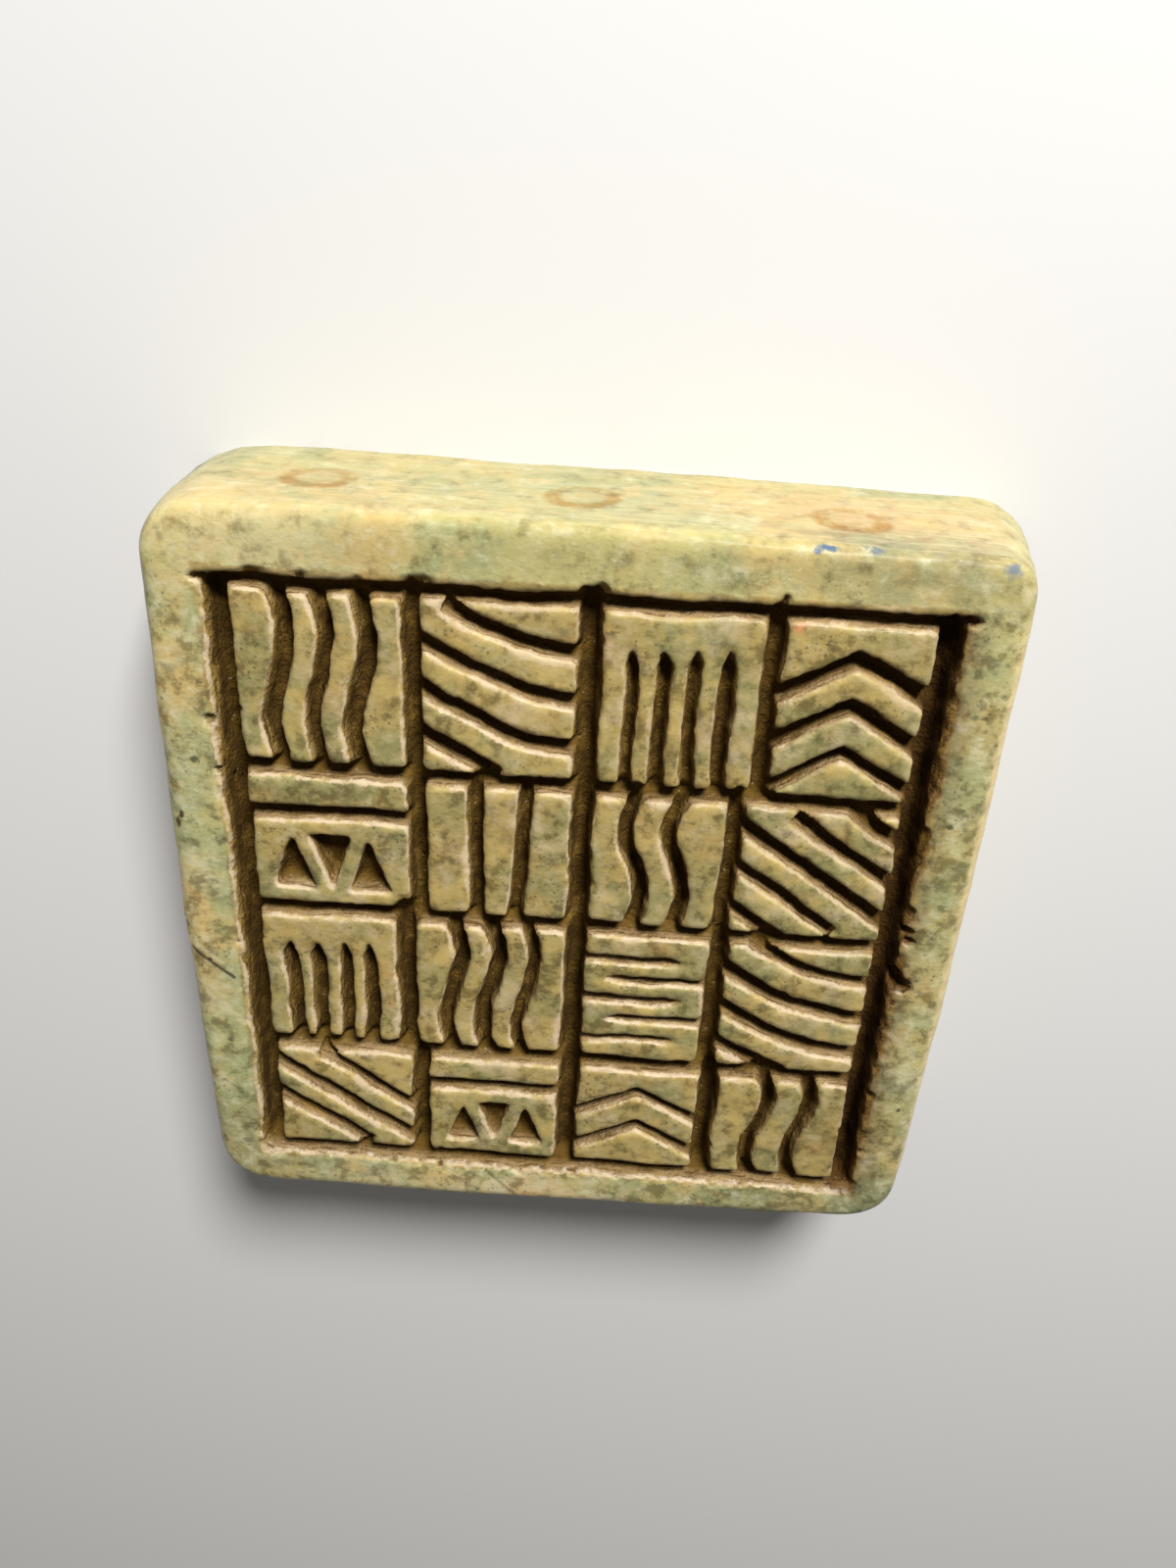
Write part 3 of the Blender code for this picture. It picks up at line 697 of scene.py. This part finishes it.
        # Darker in the cuts along the right channel.
        skin.tint(self.right_cut_darkening, ease(skin.across + uneven * 0.6, 19.9, 20.5) * walls)
        # Powder and painted highlight: pale rims only on the stroke edges that face the light,
        # weaker towards the upper right.
        tan_share = ease(uneven + fine * 0.4, -0.02, -0.16, 0.8)
        powder_and_highlight = shader.blend(self.powder_and_highlight, self.golden, tan_share)
        rim = ease(shader.mark(Mark.RIM) + fine * 1.5 + uneven * 0.6, 0.30, 1.05)
        rim_fade = ease(skin.across + skin.along, 2.0, 26.0, 0.35)
        skin.lay(powder_and_highlight, rim * (0.80 - rim_fade))

    def relief(self, skin: Skin) -> Value:
        """Give the fine relief of the surface.

        Args:
            skin: The stone's skin.

        Returns:
            The height, in millimetres.
        """
        shader, ease = skin.shader, skin.shader.ease
        rough = skin.clouds(self.cut_grain) * 0.30 + skin.clouds(self.cut_lines) * 0.14
        height = skin.clouds(self.grain) * 0.040 + rough * skin.cut
        height = height + shader.mark(Mark.SCORE) * 0.02 * skin.cut
        side = ease(skin.up, 12.9, 12.2) * (1 - skin.cut)
        end_side = ease(abs(skin.across) - abs(skin.along), -1.5, 1.5)
        run = skin.across + (skin.along - skin.across) * end_side
        cross = skin.along + (skin.across - skin.along) * end_side
        sockets = {0: run * 0.16, 1: cross * 3.0, 2: skin.up * 3.0}
        place = shader.node("ShaderNodeCombineXYZ", None, sockets)
        return height + self.sanding.share(shader, place) * side

    def dress(self, piece: Piece) -> None:
        """Give the stone to a piece.

        Args:
            piece: The slab.
        """
        shader = Shader("sage_stone_finish")
        skin, ease = Skin(shader, self.celadon), shader.ease
        for layer in (self.body, self.outer_arrises, self.stains, self.use):
            layer(skin)
        front = ease(skin.along + skin.chafed * 0.5, 25.0, 25.5) * ease(skin.up, 11.9, 12.5)
        dry = skin.cut.most(ease(shader.mark(Mark.RIM), 0.10, 0.60, 0.6))
        dry = dry.most(front * (0.75 + skin.chafed * 0.8))
        bump = {"Height": self.relief(skin), "Distance": MM, "Strength": 1.0}
        sockets = {
            "Base Color": skin.colour,
            "Roughness": 0.55 + skin.patchy * 0.10 + dry * 0.30,
            "Coat Weight": (1 - dry) * (0.30 + skin.patchy * 0.35),
            "Coat Roughness": self.gloss_roughness,
            "IOR": self.refraction,
            "Specular IOR Level": self.base_gloss,
            "Normal": shader.node("ShaderNodeBump", None, bump),
        }
        shader.feed(shader.surface, sockets)
        piece.data.materials.clear()
        piece.data.materials.append(shader.material)


def unit(values: Numbers) -> Numbers:
    """Keep numbers between 0 and 1."""
    return np.clip(values, 0.0, 1.0)


class CarvingMap:
    """The carved face seen from above, as a square grid of numbers, in millimetres."""

    STREAK_REACH = 1.6
    STREAK_STEPS = 25

    def __init__(self, middle: Pair, reach: float, cell: float) -> None:
        """Lay out the grid.

        Args:
            middle: The middle of the face.
            reach: From the middle to the grid's sides.
            cell: The width of a cell.
        """
        self.middle = np.array(middle)
        self.reach = reach
        self.cell = cell
        self.count = int(round(2 * reach / cell))

    def spread(self, places: Numbers, values: Numbers, blank: float) -> Numbers:
        """Average values of scattered places in the cells that they fall in.

        Args:
            places: The places.
            values: One number for each.
            blank: The number of a cell that nothing is near.

        Returns:
            The grid.
        """
        steps = np.floor((places[:, :2] - self.middle + self.reach) / self.cell).astype(int)
        steps = np.clip(steps, 0, self.count - 1)
        where = steps[:, 0] * self.count + steps[:, 1]
        shape = (self.count, self.count)
        total = np.bincount(where, weights=values, minlength=self.count**2).reshape(shape)
        share = np.bincount(where, minlength=self.count**2).reshape(shape).astype(float)
        total, share = self.blur(total, self.cell * 0.7), self.blur(share, self.cell * 0.7)
        return np.where(share > 0.02, total / np.maximum(share, 0.02), blank)

    def blur(self, grid: Numbers, width: float) -> Numbers:
        """Blur a grid.

        Args:
            grid: The grid.
            width: The blur's standard deviation.

        Returns:
            The blurred grid.
        """
        pitch = np.fft.fftfreq(self.count, self.cell)
        fall = np.exp(-2 * (math.pi * width * pitch) ** 2)
        return np.fft.ifft2(np.fft.fft2(grid) * fall[:, None] * fall[None, :]).real

    def read(self, grid: Numbers, places: Numbers) -> Numbers:
        """Read a grid at scattered places.

        Args:
            grid: The grid.
            places: The places.

        Returns:
            One number for each place.
        """
        steps = (places[..., :2] - self.middle + self.reach) / self.cell - 0.5
        steps = np.clip(steps, 0.0, self.count - 1.001)
        low = np.floor(steps).astype(int)
        part = steps - low
        i, j = low[..., 0], low[..., 1]
        p, q = part[..., 0], part[..., 1]
        first = grid[i, j] * (1 - q) + grid[i, j + 1] * q
        second = grid[i + 1, j] * (1 - q) + grid[i + 1, j + 1] * q
        return first * (1 - p) + second * p

    def streaks(self, height: Numbers, chance: Chance) -> Numbers:
        """Draw streaks that run along the cuts, as a knife leaves them.

        Args:
            height: The grid of heights.
            chance: The source of chance.

        Returns:
            A grid of numbers round 0, mostly between -2 and 2.
        """
        rise_x, rise_y = np.gradient(self.blur(height, 0.2), self.cell)
        square_x = self.blur(rise_x**2, 0.7)
        square_y = self.blur(rise_y**2, 0.7)
        mixed = self.blur(rise_x * rise_y, 0.7)
        angle = 0.5 * np.arctan2(2 * mixed, square_x - square_y) + math.pi / 2
        noise = self.blur(chance.normal(size=height.shape), 0.11)
        line = (np.arange(self.count) + 0.5) * self.cell - self.reach
        grid_x, grid_y = np.meshgrid(line + self.middle[0], line + self.middle[1], indexing="ij")
        total = np.zeros_like(height)
        reach = self.STREAK_REACH
        for step in np.linspace(-reach, reach, self.STREAK_STEPS):
            there = np.stack((grid_x + step * np.cos(angle), grid_y + step * np.sin(angle)), -1)
            total += self.read(noise, there)
        return total / total.std()


@dataclass(frozen=True)
class Nick:
    """A small notch or pit in the carved face, in millimetres from the face's middle."""

    place: Pair
    reach: Pair
    depth: float


@dataclass(frozen=True)
class Grain:
    """A roughness of one zone: the texture's kind, and its size and height in millimetres."""

    zone: Zone
    kind: str
    size: float
    height: float


@dataclass(frozen=True)
class Chips:
    """Small chips on the arrises of one zone: how many, and how far they reach."""

    zone: Zone
    count: int
    reach: Pair


@dataclass
class CarvedSlab:
    """The slab itself: its solid, worn, chipped and roughened as a knife and time left it."""

    piece: Piece = field(init=False)
    chance: Chance = field(init=False)
    node: str = "stamp_seal"
    thickness: float = 13.0
    face: Pair = (0.15, 0.55)
    field_left: float = -22.0
    field_right: float = 22.1
    field_bottom: float = -23.1
    field_top: float = 22.6
    cut_depth: float = 1.7
    voxel: float = 0.155 * MM
    most_triangles: int = 196000
    levels: int = 16
    seed: int = 7
    wave_count: int = 26
    map_reach: float = 28.0
    map_cell: float = 0.12
    bottom_slope: Pair = (-23.05, -21.9)
    right_slope: Pair = (21.0, 22.45)
    right_drop: float = 0.75
    wall_drop: float = 0.17
    worn_depth: float = 2.2
    streak_height: float = 0.045
    streak_limit: float = 2.0
    upright_gain: float = 1.6
    grains: tuple[Grain, ...] = (
        Grain(Zone.WALLS, "CLOUDS", 1.4, 0.18),
        Grain(Zone.WALLS, "CLOUDS", 0.5, 0.14),
        Grain(Zone.FLOORS, "VORONOI", 1.3, -0.26),
        Grain(Zone.FLOORS, "CLOUDS", 0.55, 0.14),
        Grain(Zone.TOPS, "CLOUDS", 3.2, 0.22),
        Grain(Zone.BORDER, "CLOUDS", 6.0, 0.12),
        Grain(Zone.SIDES, "CLOUDS", 5.0, 0.30),
        Grain(Zone.BACK, "CLOUDS", 7.0, 0.22),
    )
    chips: tuple[Chips, ...] = (
        Chips(Zone.TOPS, 60, (0.30, 0.60)),
        Chips(Zone.TOPS, 240, (0.14, 0.32)),
        Chips(Zone.BORDER, 70, (0.20, 0.60)),
        Chips(Zone.SIDES, 7, (0.25, 0.45)),
    )
    nicks: tuple[Nick, ...] = (
        Nick((-21.9, 12.9), (0.50, 0.35), 0.45),
        Nick((-22.1, 12.5), (0.30, 0.25), 0.30),
        Nick((-21.8, 9.4), (0.42, 0.26), 0.60),
        Nick((-21.9, -3.7), (0.22, 0.22), 0.35),
        Nick((-24.8, 6.0), (0.35, 0.70), 0.30),
        Nick((-21.5, 21.8), (0.75, 0.30), 0.90),
        Nick((-18.6, 22.2), (1.10, 0.40), 0.50),
        Nick((-15.9, 22.2), (0.45, 0.32), 0.40),
        Nick((-12.6, 22.2), (0.35, 0.25), 0.35),
        Nick((-9.2, 22.3), (1.10, 0.45), 0.50),
        Nick((0.3, 22.3), (0.50, 0.35), 0.45),
        Nick((11.4, 22.5), (0.28, 0.50), 0.55),
        Nick((21.7, 21.9), (0.85, 0.38), 1.00),
        Nick((21.9, 0.7), (0.55, 0.42), 1.20),
        Nick((22.1, 0.0), (0.45, 0.34), 0.90),
        Nick((21.7, -3.0), (0.60, 0.95), 1.70),
        Nick((22.0, -3.5), (0.85, 0.70), 1.70),
        Nick((22.4, -3.8), (0.65, 0.42), 1.50),
        Nick((21.9, -5.0), (0.45, 0.45), 0.40),
        Nick((22.0, -17.2), (0.50, 0.25), 0.40),
        Nick((21.9, -18.6), (0.45, 0.30), 0.40),
        Nick((-8.6, -23.1), (0.28, 0.45), 0.60),
        Nick((-2.7, -23.0), (0.22, 0.35), 0.40),
        Nick((-21.2, -22.6), (0.70, 0.70), 0.45),
    )

    def copy_solid(self) -> None:
        """Copy the CAD solid into a new piece and join its loose triangles."""
        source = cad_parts[self.node]
        mesh = source.data.copy()
        mesh.name = "carved_slab"
        self.piece = bpy.data.objects.new("carved_slab", mesh)
        bpy.context.scene.collection.objects.link(self.piece)
        self.select()
        bpy.ops.object.mode_set(mode="EDIT")
        bpy.ops.mesh.select_all(action="SELECT")
        bpy.ops.mesh.remove_doubles(threshold=0.001 * MM)
        bpy.ops.object.mode_set(mode="OBJECT")

    def select(self) -> None:
        """Select the piece alone and make it active."""
        bpy.ops.object.select_all(action="DESELECT")
        self.piece.select_set(True)
        bpy.context.view_layer.objects.active = self.piece

    def modify(self, kind: str, **settings: Any) -> None:
        """Add a modifier and apply it.

        Args:
            kind: The modifier's type.
            settings: The modifier's settings.
        """
        modifier = self.piece.modifiers.new("step", kind)
        for name, value in settings.items():
            setattr(modifier, name, value)
        self.select()
        bpy.ops.object.modifier_apply(modifier=modifier.name)

    def vectors(self, items: bpy.types.bpy_prop_collection, name: str) -> Numbers:
        """Read one vector of each item.

        Args:
            items: The items of a mesh.
            name: The vector's name.

        Returns:
            A row of three numbers for each.
        """
        values = np.empty(len(items) * 3, np.float32)
        items.foreach_get(name, values)
        return values.reshape(-1, 3).astype(float)

    def places(self) -> Numbers:
        """Read the vertices' places, in millimetres."""
        return self.vectors(self.piece.data.vertices, "co") / MM

    def normals(self) -> Numbers:
        """Read the vertices' normals."""
        return self.vectors(self.piece.data.vertex_normals, "vector")

    def move_to(self, places: Numbers) -> None:
        """Write the vertices' places, none of them below the slab's back.

        Args:
            places: The places in millimetres.
        """
        places[:, 2] = np.maximum(places[:, 2], 0.0)
        self.piece.data.vertices.foreach_set("co", (places * MM).astype(np.float32).ravel())
        self.piece.data.update()

    def on_face(self, places: Numbers) -> tuple[Numbers, Numbers]:
        """Give how far across and along each place is from the face's middle."""
        return places[:, 0] - self.face[0], places[:, 1] - self.face[1]

    def in_field(self, places: Numbers) -> Numbers:
        """Tell which places are inside the border."""
        return self.beyond_field(places) < 0.0

    def beyond_field(self, places: Numbers) -> Numbers:
        """Give how far each place is outside the field.

        Args:
            places: The places.

        Returns:
            The distance, below 0 inside the field.
        """
        across, along = self.on_face(places)
        gap_x = np.maximum(self.field_left - across, across - self.field_right)
        gap_y = np.maximum(self.field_bottom - along, along - self.field_top)
        return np.maximum(gap_x, gap_y)

    def waves(self, places: Numbers, length: float) -> Numbers:
        """Give a smooth random rise and fall in space.

        Args:
            places: The places.
            length: The usual length of a wave.

        Returns:
            Numbers round 0, mostly between -2 and 2.
        """
        total = np.zeros(len(places))
        for _ in range(self.wave_count):
            way = self.chance.normal(size=3)
            way *= 2 * math.pi / (length * self.chance.uniform(0.7, 1.5) * np.linalg.norm(way))
            total += np.sin(places @ way + self.chance.uniform(0.0, 2 * math.pi))
        return total * math.sqrt(2 / self.wave_count)

    def zones(self) -> dict[Zone, Numbers]:
        """Weigh each vertex for each zone.

        Returns:
            A weight from 0 to 1 for each vertex, by zone.
        """
        places = self.places()
        facing = self.normals()[:, 2]
        depth = self.thickness - places[:, 2]
        inside = self.in_field(places) & (places[:, 2] > self.thickness / 2)
        flat = unit((facing - 0.5) / 0.3)
        across, along = self.on_face(places)
        soft = unit((-across - 2.0) / 14.0) * unit((along - 23.0) / 1.5)
        carved = self.beyond_field(places) < 0.4
        near_rim = (depth < 0.35) & carved
        cut = ~near_rim & carved & (depth < 1.5)
        return {
            Zone.FLOORS: inside * unit((depth - 0.15) / 0.4) * flat,
            Zone.WALLS: inside * unit((depth + 0.10) / 0.25) * (1 - flat),
            Zone.TOPS: inside * flat * (depth < 0.4),
            Zone.BORDER: ~inside * flat,
            Zone.SIDES: ~inside * (np.abs(facing) < 0.7),
            Zone.BACK: (facing < -0.7) * 1.0,
            Zone.SOFT: soft * (places[:, 2] > 9.0) * ~inside,
            Zone.SPARE: np.where(near_rim, 0.06, np.where(depth > 1.5, 0.70, 0.35)) + 0.10 * cut,
        }

    def weigh(self) -> None:
        """Store the zones as vertex groups."""
        self.piece.vertex_groups.clear()
        for zone, weights in self.zones().items():
            group = self.piece.vertex_groups.new(name=zone.value)
            steps = np.rint(weights * self.levels).astype(int)
            for step in range(1, self.levels + 1):
                chosen = np.flatnonzero(steps == step)
                if len(chosen):
                    group.add(chosen.tolist(), step / self.levels, "REPLACE")

    def roughen(self, grain: Grain) -> None:
        """Push a zone in and out with a procedural texture.

        Args:
            grain: The roughness and its zone.
        """
        texture = bpy.data.textures.new(grain.zone.value, grain.kind)
        texture.noise_scale = grain.size * MM
        if grain.kind == "CLOUDS":
            texture.noise_depth = 2
        self.modify(
            "DISPLACE",
            texture=texture,
            texture_coords="LOCAL",
            direction="NORMAL",
            vertex_group=grain.zone.value,
            mid_level=0.5,
            strength=grain.height * MM,
        )

    def map_face(self) -> tuple[CarvingMap, Numbers, Numbers]:
        """Map the heights of the carved face.

        Returns:
            The map, its grid of heights and the vertices' places.
        """
        chart = CarvingMap(self.face, self.map_reach, self.map_cell)
        places = self.places()
        chosen = (self.beyond_field(places) < 0.5) & (places[:, 2] > self.thickness / 2)
        return chart, chart.spread(places[chosen], places[chosen, 2], self.thickness), places

    def sway(self) -> None:
        """Let the strokes' edges wander, as a hand cuts them."""
        places = self.places()
        share = unit(1.0 - self.beyond_field(places))
        share *= unit(places[:, 2] - self.thickness + 2.6)
        for axis in range(2):
            shift = self.waves(places, 5.0) * 0.05 + self.waves(places, 1.3) * 0.02
            places[:, axis] += shift * share
        self.move_to(places)

    def foot_slope(self, places: Numbers, rough: Numbers, rougher: Numbers) -> Numbers:
        """Give the crumbly slope along the bottom channel.

        Args:
            places: The places.
            rough: A rise and fall for each.
            rougher: A shorter one.

        Returns:
            How far each place is worn down.
        """
        across, along = self.on_face(places)
        foot, top = self.bottom_slope
        slope = unit(along - foot + rough * 0.10)
        low = np.where(along < top, slope * 1.05 + rougher * 0.06 * (slope > 0), 0.0)
        return low * unit((self.field_right - np.abs(across)) / 0.4)

    def side_slope(self, places: Numbers, rough: Numbers) -> Numbers:
        """Give the worn slope along the right border, which is straighter in its upper half.

        Args:
            places: The places.
            rough: A rise and fall for each.

        Returns:
            How far each place is worn down.
        """
        across, along = self.on_face(places)
        start, end = self.right_slope
        wander = rough * 0.09 * (1 - 0.7 * unit((along - 2.0) / 3.0))
        slope = unit(end - across + wander) * (across > start)
        slope *= unit((along + 21.5) / 2.0) * unit((21.0 - along) / 3.0)
        return self.right_drop * slope**1.3

    def wear(self) -> None:
        """Wear the arrises, slope the lit walls and cut the nicks."""
        chart, height, places = self.map_face()
        soft = chart.blur(height, 0.28)
        rise_x, rise_y = np.gradient(chart.blur(height, 0.22), self.map_cell)
        depth = self.thickness - places[:, 2]
        edge = unit((self.thickness - chart.read(soft, places)) / (self.cut_depth / 2))
        lit = unit(-chart.read(0.75 * rise_x + rise_y, places) / 1.2)
        uneven = np.clip(1.0 + 0.35 * self.waves(places, 1.6), 0.3, 1.8)
        rough = self.waves(places, 1.1)
        rougher = self.waves(places, 0.55)
        drop = self.wall_drop * edge**1.7 * lit * uneven
        drop = np.maximum(drop, self.foot_slope(places, rough, rougher))
        ragged = np.clip(0.8 + 0.3 * self.waves(places, 2.6) + 0.12 * rough, 0.3, 1.4)
        drop = np.maximum(drop, self.side_slope(places, rough) * ragged)
        across, along = self.on_face(places)
        for nick in self.nicks:
            gap_x = (across - nick.place[0]) / nick.reach[0]
            gap_y = (along - nick.place[1]) / nick.reach[1]
            gap = np.sqrt(gap_x**2 + gap_y**2) + 0.10 * rough + 0.06 * rougher
            drop = np.maximum(drop, nick.depth * unit(1.4 * (1 - gap)))
        top = places[:, 2] > self.thickness - self.worn_depth
        top &= self.normals()[:, 2] > -0.3
        places[:, 2] = np.where(top, np.minimum(places[:, 2], self.thickness - drop), places[:, 2])
        streaks = chart.read(chart.streaks(height, self.chance), places)
        floor = self.in_field(places) * unit((depth - 0.5) / 0.6)
        streaks = np.clip(streaks, -self.streak_limit, self.streak_limit)
        places[:, 2] += streaks * self.streak_height * floor
        self.move_to(places)

    def chip(self) -> None:
        """Break small chips off the arrises."""
        chart, height, places = self.map_face()
        normals = self.normals()
        stands = places[:, 2] - chart.read(chart.blur(height, 0.25), places)
        arris = (places[:, 2] > self.thickness - 0.45) & (stands > 0.45)
        beyond, facing = self.beyond_field(places), np.abs(normals[:, 2])
        inside = beyond < -0.35
        border = arris & ~inside & (beyond < 0.3)
        border &= (places[:, 0] < 21.0) | (places[:, 1] < 3.0)
        outer = (facing > 0.35) & (facing < 0.85) & (beyond > 1.5)
        pools = {Zone.TOPS: arris & inside, Zone.BORDER: border, Zone.SIDES: outer}
        for chips in self.chips:
            pool = np.flatnonzero(pools[chips.zone])
            for spot in self.chance.choice(pool, chips.count, replace=False):
                reach = self.chance.uniform(*chips.reach)
                out = normals[spot] + self.chance.normal(0.0, 0.3, 3)
                out /= np.linalg.norm(out)
                near = np.flatnonzero(np.abs(places[:, 0] - places[spot, 0]) < reach)
                offset = places[near] - places[spot]
                gap = np.linalg.norm(offset, axis=1) / reach
                above = offset @ out + reach * self.chance.uniform(0.12, 0.3)
                push = np.clip(above, 0.0, None) * unit(1.6 * (1 - gap))
                places[near] -= push[:, None] * out
        self.move_to(places)

    def keep_marks(self) -> None:
        """Store what the stone's colours need on each vertex."""
        chart, height, places = self.map_face()
        near_field = (self.beyond_field(places) < 0.9) & (places[:, 2] > self.thickness / 2)
        depth = np.clip((self.thickness - places[:, 2]) / self.cut_depth, 0.0, 1.2)
        half = self.cut_depth / 2
        narrow = (places[:, 2] - chart.read(chart.blur(height, 0.16), places)) / half
        wide = (places[:, 2] - chart.read(chart.blur(height, 0.42), places)) / half
        rise_x, rise_y = np.gradient(chart.blur(height, 0.28), self.map_cell)
        fall_x, fall_y = -chart.read(rise_x, places), -chart.read(rise_y, places)
        steep = np.hypot(fall_x, fall_y) + 0.15
        run_x, run_y = chart.blur(rise_x**2, 0.5), chart.blur(rise_y**2, 0.5)
        upright = (run_x - run_y) / (run_x + run_y + 0.01)
        sideways = np.interp(places[:, 0], (0.0, 12.0), (0.80, 0.50))
        # lit: how far an edge faces the light; the rim mark keeps only those edges, for a painted
        # highlight.
        lit = unit((sideways * fall_x + 0.90 * fall_y) / steep + 0.15)
        # dull: how far an edge faces away from the light, for the painted shade.
        dull = -0.30 * fall_x * (fall_x > 0) - 0.95 * fall_y - 0.4 * fall_x
        top = near_field * unit((0.35 - depth) / 0.2)
        shallow = unit((depth - 0.012) / 0.03) * unit((0.24 - depth) / 0.10)
        rim = np.maximum(unit((narrow - 0.04) / 0.45) * top, shallow * near_field)
        marks = {
            Mark.SUNK: depth * near_field,
            Mark.RIM: rim * lit,
            Mark.GRIME: unit(wide / 0.9) * unit(dull / steep) * top,
            # Walls facing the light, for their painted lit tone.
            Mark.LIT_WALL: unit(self.normals()[:, 1] * 1.3) * near_field,
            Mark.SCORE: chart.read(chart.streaks(height, self.chance), places),
            Mark.STROKE_TOP: self.in_field(places) * top,
            Mark.UPRIGHT: unit(chart.read(upright, places) * self.upright_gain) * near_field,
        }
        for mark, values in marks.items():
            layer = self.piece.data.attributes.new(mark.value, "FLOAT", "POINT")
            layer.data.foreach_set("value", values.astype(np.float32))

    def triangles(self) -> int:
        """Count the triangles of the piece."""
        self.piece.data.calc_loop_triangles()
        return len(self.piece.data.loop_triangles)

    def build(self) -> Piece:
        """Make the slab.

        Returns:
            The finished slab, undressed.
        """
        self.chance = np.random.default_rng(self.seed)
        self.copy_solid()
        self.modify("REMESH", mode="VOXEL", voxel_size=self.voxel)
        log.info("remeshed to %d triangles", self.triangles())
        self.modify("SMOOTH", factor=0.5, iterations=3)
        self.weigh()
        self.modify("SMOOTH", factor=0.5, iterations=160, vertex_group=Zone.SOFT.value)
        self.sway()
        self.wear()
        self.weigh()
        for grain in self.grains:
            self.roughen(grain)
        self.chip()
        self.modify("SMOOTH", factor=0.5, iterations=1)
        self.weigh()
        ratio = self.most_triangles / self.triangles()
        self.modify(
            "DECIMATE",
            decimate_type="COLLAPSE",
            ratio=min(1.0, ratio),
            vertex_group=Zone.SPARE.value,
            vertex_group_factor=1.0,
        )
        self.piece.vertex_groups.clear()
        self.move_to(self.places())
        self.keep_marks()
        self.select()
        bpy.ops.object.shade_smooth()
        log.info("carved slab has %d triangles", self.triangles())
        return self.piece


@dataclass
class Studio:
    """The pale floor, the light and the camera."""

    face: Triple = (0.15 * MM, 0.55 * MM, 13.0 * MM)
    camera_gap: Triple = (2.815 * MM, 44.45 * MM, 62.58 * MM)
    camera_back: Triple = (0.026, 0.481, 0.877)
    camera_up: Triple = (-0.066, 0.876, -0.478)
    lens: float = 27.0
    sensor: float = 36.0
    floor_size: float = 4.0
    floor_colour: Colour = (0.62, 0.61, 0.59)
    floor_roughness: float = 0.9
    light_way: Triple = (0.21, 0.81, 0.54)
    light_gap: float = 0.36
    light_size: float = 0.10
    light_power: float = 2.42
    fill_colour: Colour = (1.0, 0.98, 0.95)
    fill: float = 0.155

    def lay_floor(self) -> None:
        """Lay the pale floor."""
        bpy.ops.object.select_all(action="DESELECT")
        bpy.ops.mesh.primitive_plane_add(size=self.floor_size)
        floor = bpy.context.object
        floor.name = "pale_floor"
        shader = Shader("pale_floor_finish")
        sockets = {"Base Color": self.floor_colour, "Roughness": self.floor_roughness}
        shader.feed(shader.surface, sockets)
        floor.data.materials.append(shader.material)

    def hang_light(self) -> None:
        """Hang a soft light that shines on the carved face."""
        light = bpy.data.lights.new("key", "AREA")
        light.shape = "DISK"
        light.size = self.light_size
        light.energy = self.light_power
        lamp = bpy.data.objects.new("key", light)
        heading = Vector(self.light_way).normalized()
        lamp.location = Vector(self.face) + heading * self.light_gap
        lamp.rotation_euler = heading.to_track_quat("Z", "Y").to_euler()
        bpy.context.scene.collection.objects.link(lamp)

    def set_world(self) -> None:
        """Give the room its even fill light."""
        world = bpy.data.worlds.new("soft_room")
        world.use_nodes = True
        background = world.node_tree.nodes["Background"]
        background.inputs["Color"].default_value = (*self.fill_colour, 1.0)
        background.inputs["Strength"].default_value = self.fill
        bpy.context.scene.world = world

    def set_camera(self) -> None:
        """Put the camera where the seal is seen from."""
        data = bpy.data.cameras.new("camera")
        data.lens = self.lens
        data.sensor_width = self.sensor
        data.clip_start = 1.0 * MM
        camera = bpy.data.objects.new("camera", data)
        back = Vector(self.camera_back).normalized()
        right = Vector(self.camera_up).cross(back).normalized()
        up = back.cross(right)
        place = Vector(self.face) + Vector(self.camera_gap)
        turned = Matrix((right, up, back)).transposed().to_4x4()
        camera.matrix_world = Matrix.Translation(place) @ turned
        bpy.context.scene.collection.objects.link(camera)
        bpy.context.scene.camera = camera

    def build(self) -> None:
        """Set up the whole studio."""
        self.lay_floor()
        self.hang_light()
        self.set_world()
        self.set_camera()
        bpy.context.scene.view_settings.view_transform = "Standard"


def main() -> None:
    """Build the seal and its studio."""
    logging.basicConfig(level=logging.INFO, format="%(message)s")
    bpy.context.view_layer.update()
    slab = CarvedSlab().build()
    SealStone().dress(slab)
    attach(slab, "root")
    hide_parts("stamp_seal")
    log.info("the slab is dressed")
    Studio().build()
    log.info("the studio is set up")


if __name__ == "__main__":
    main()
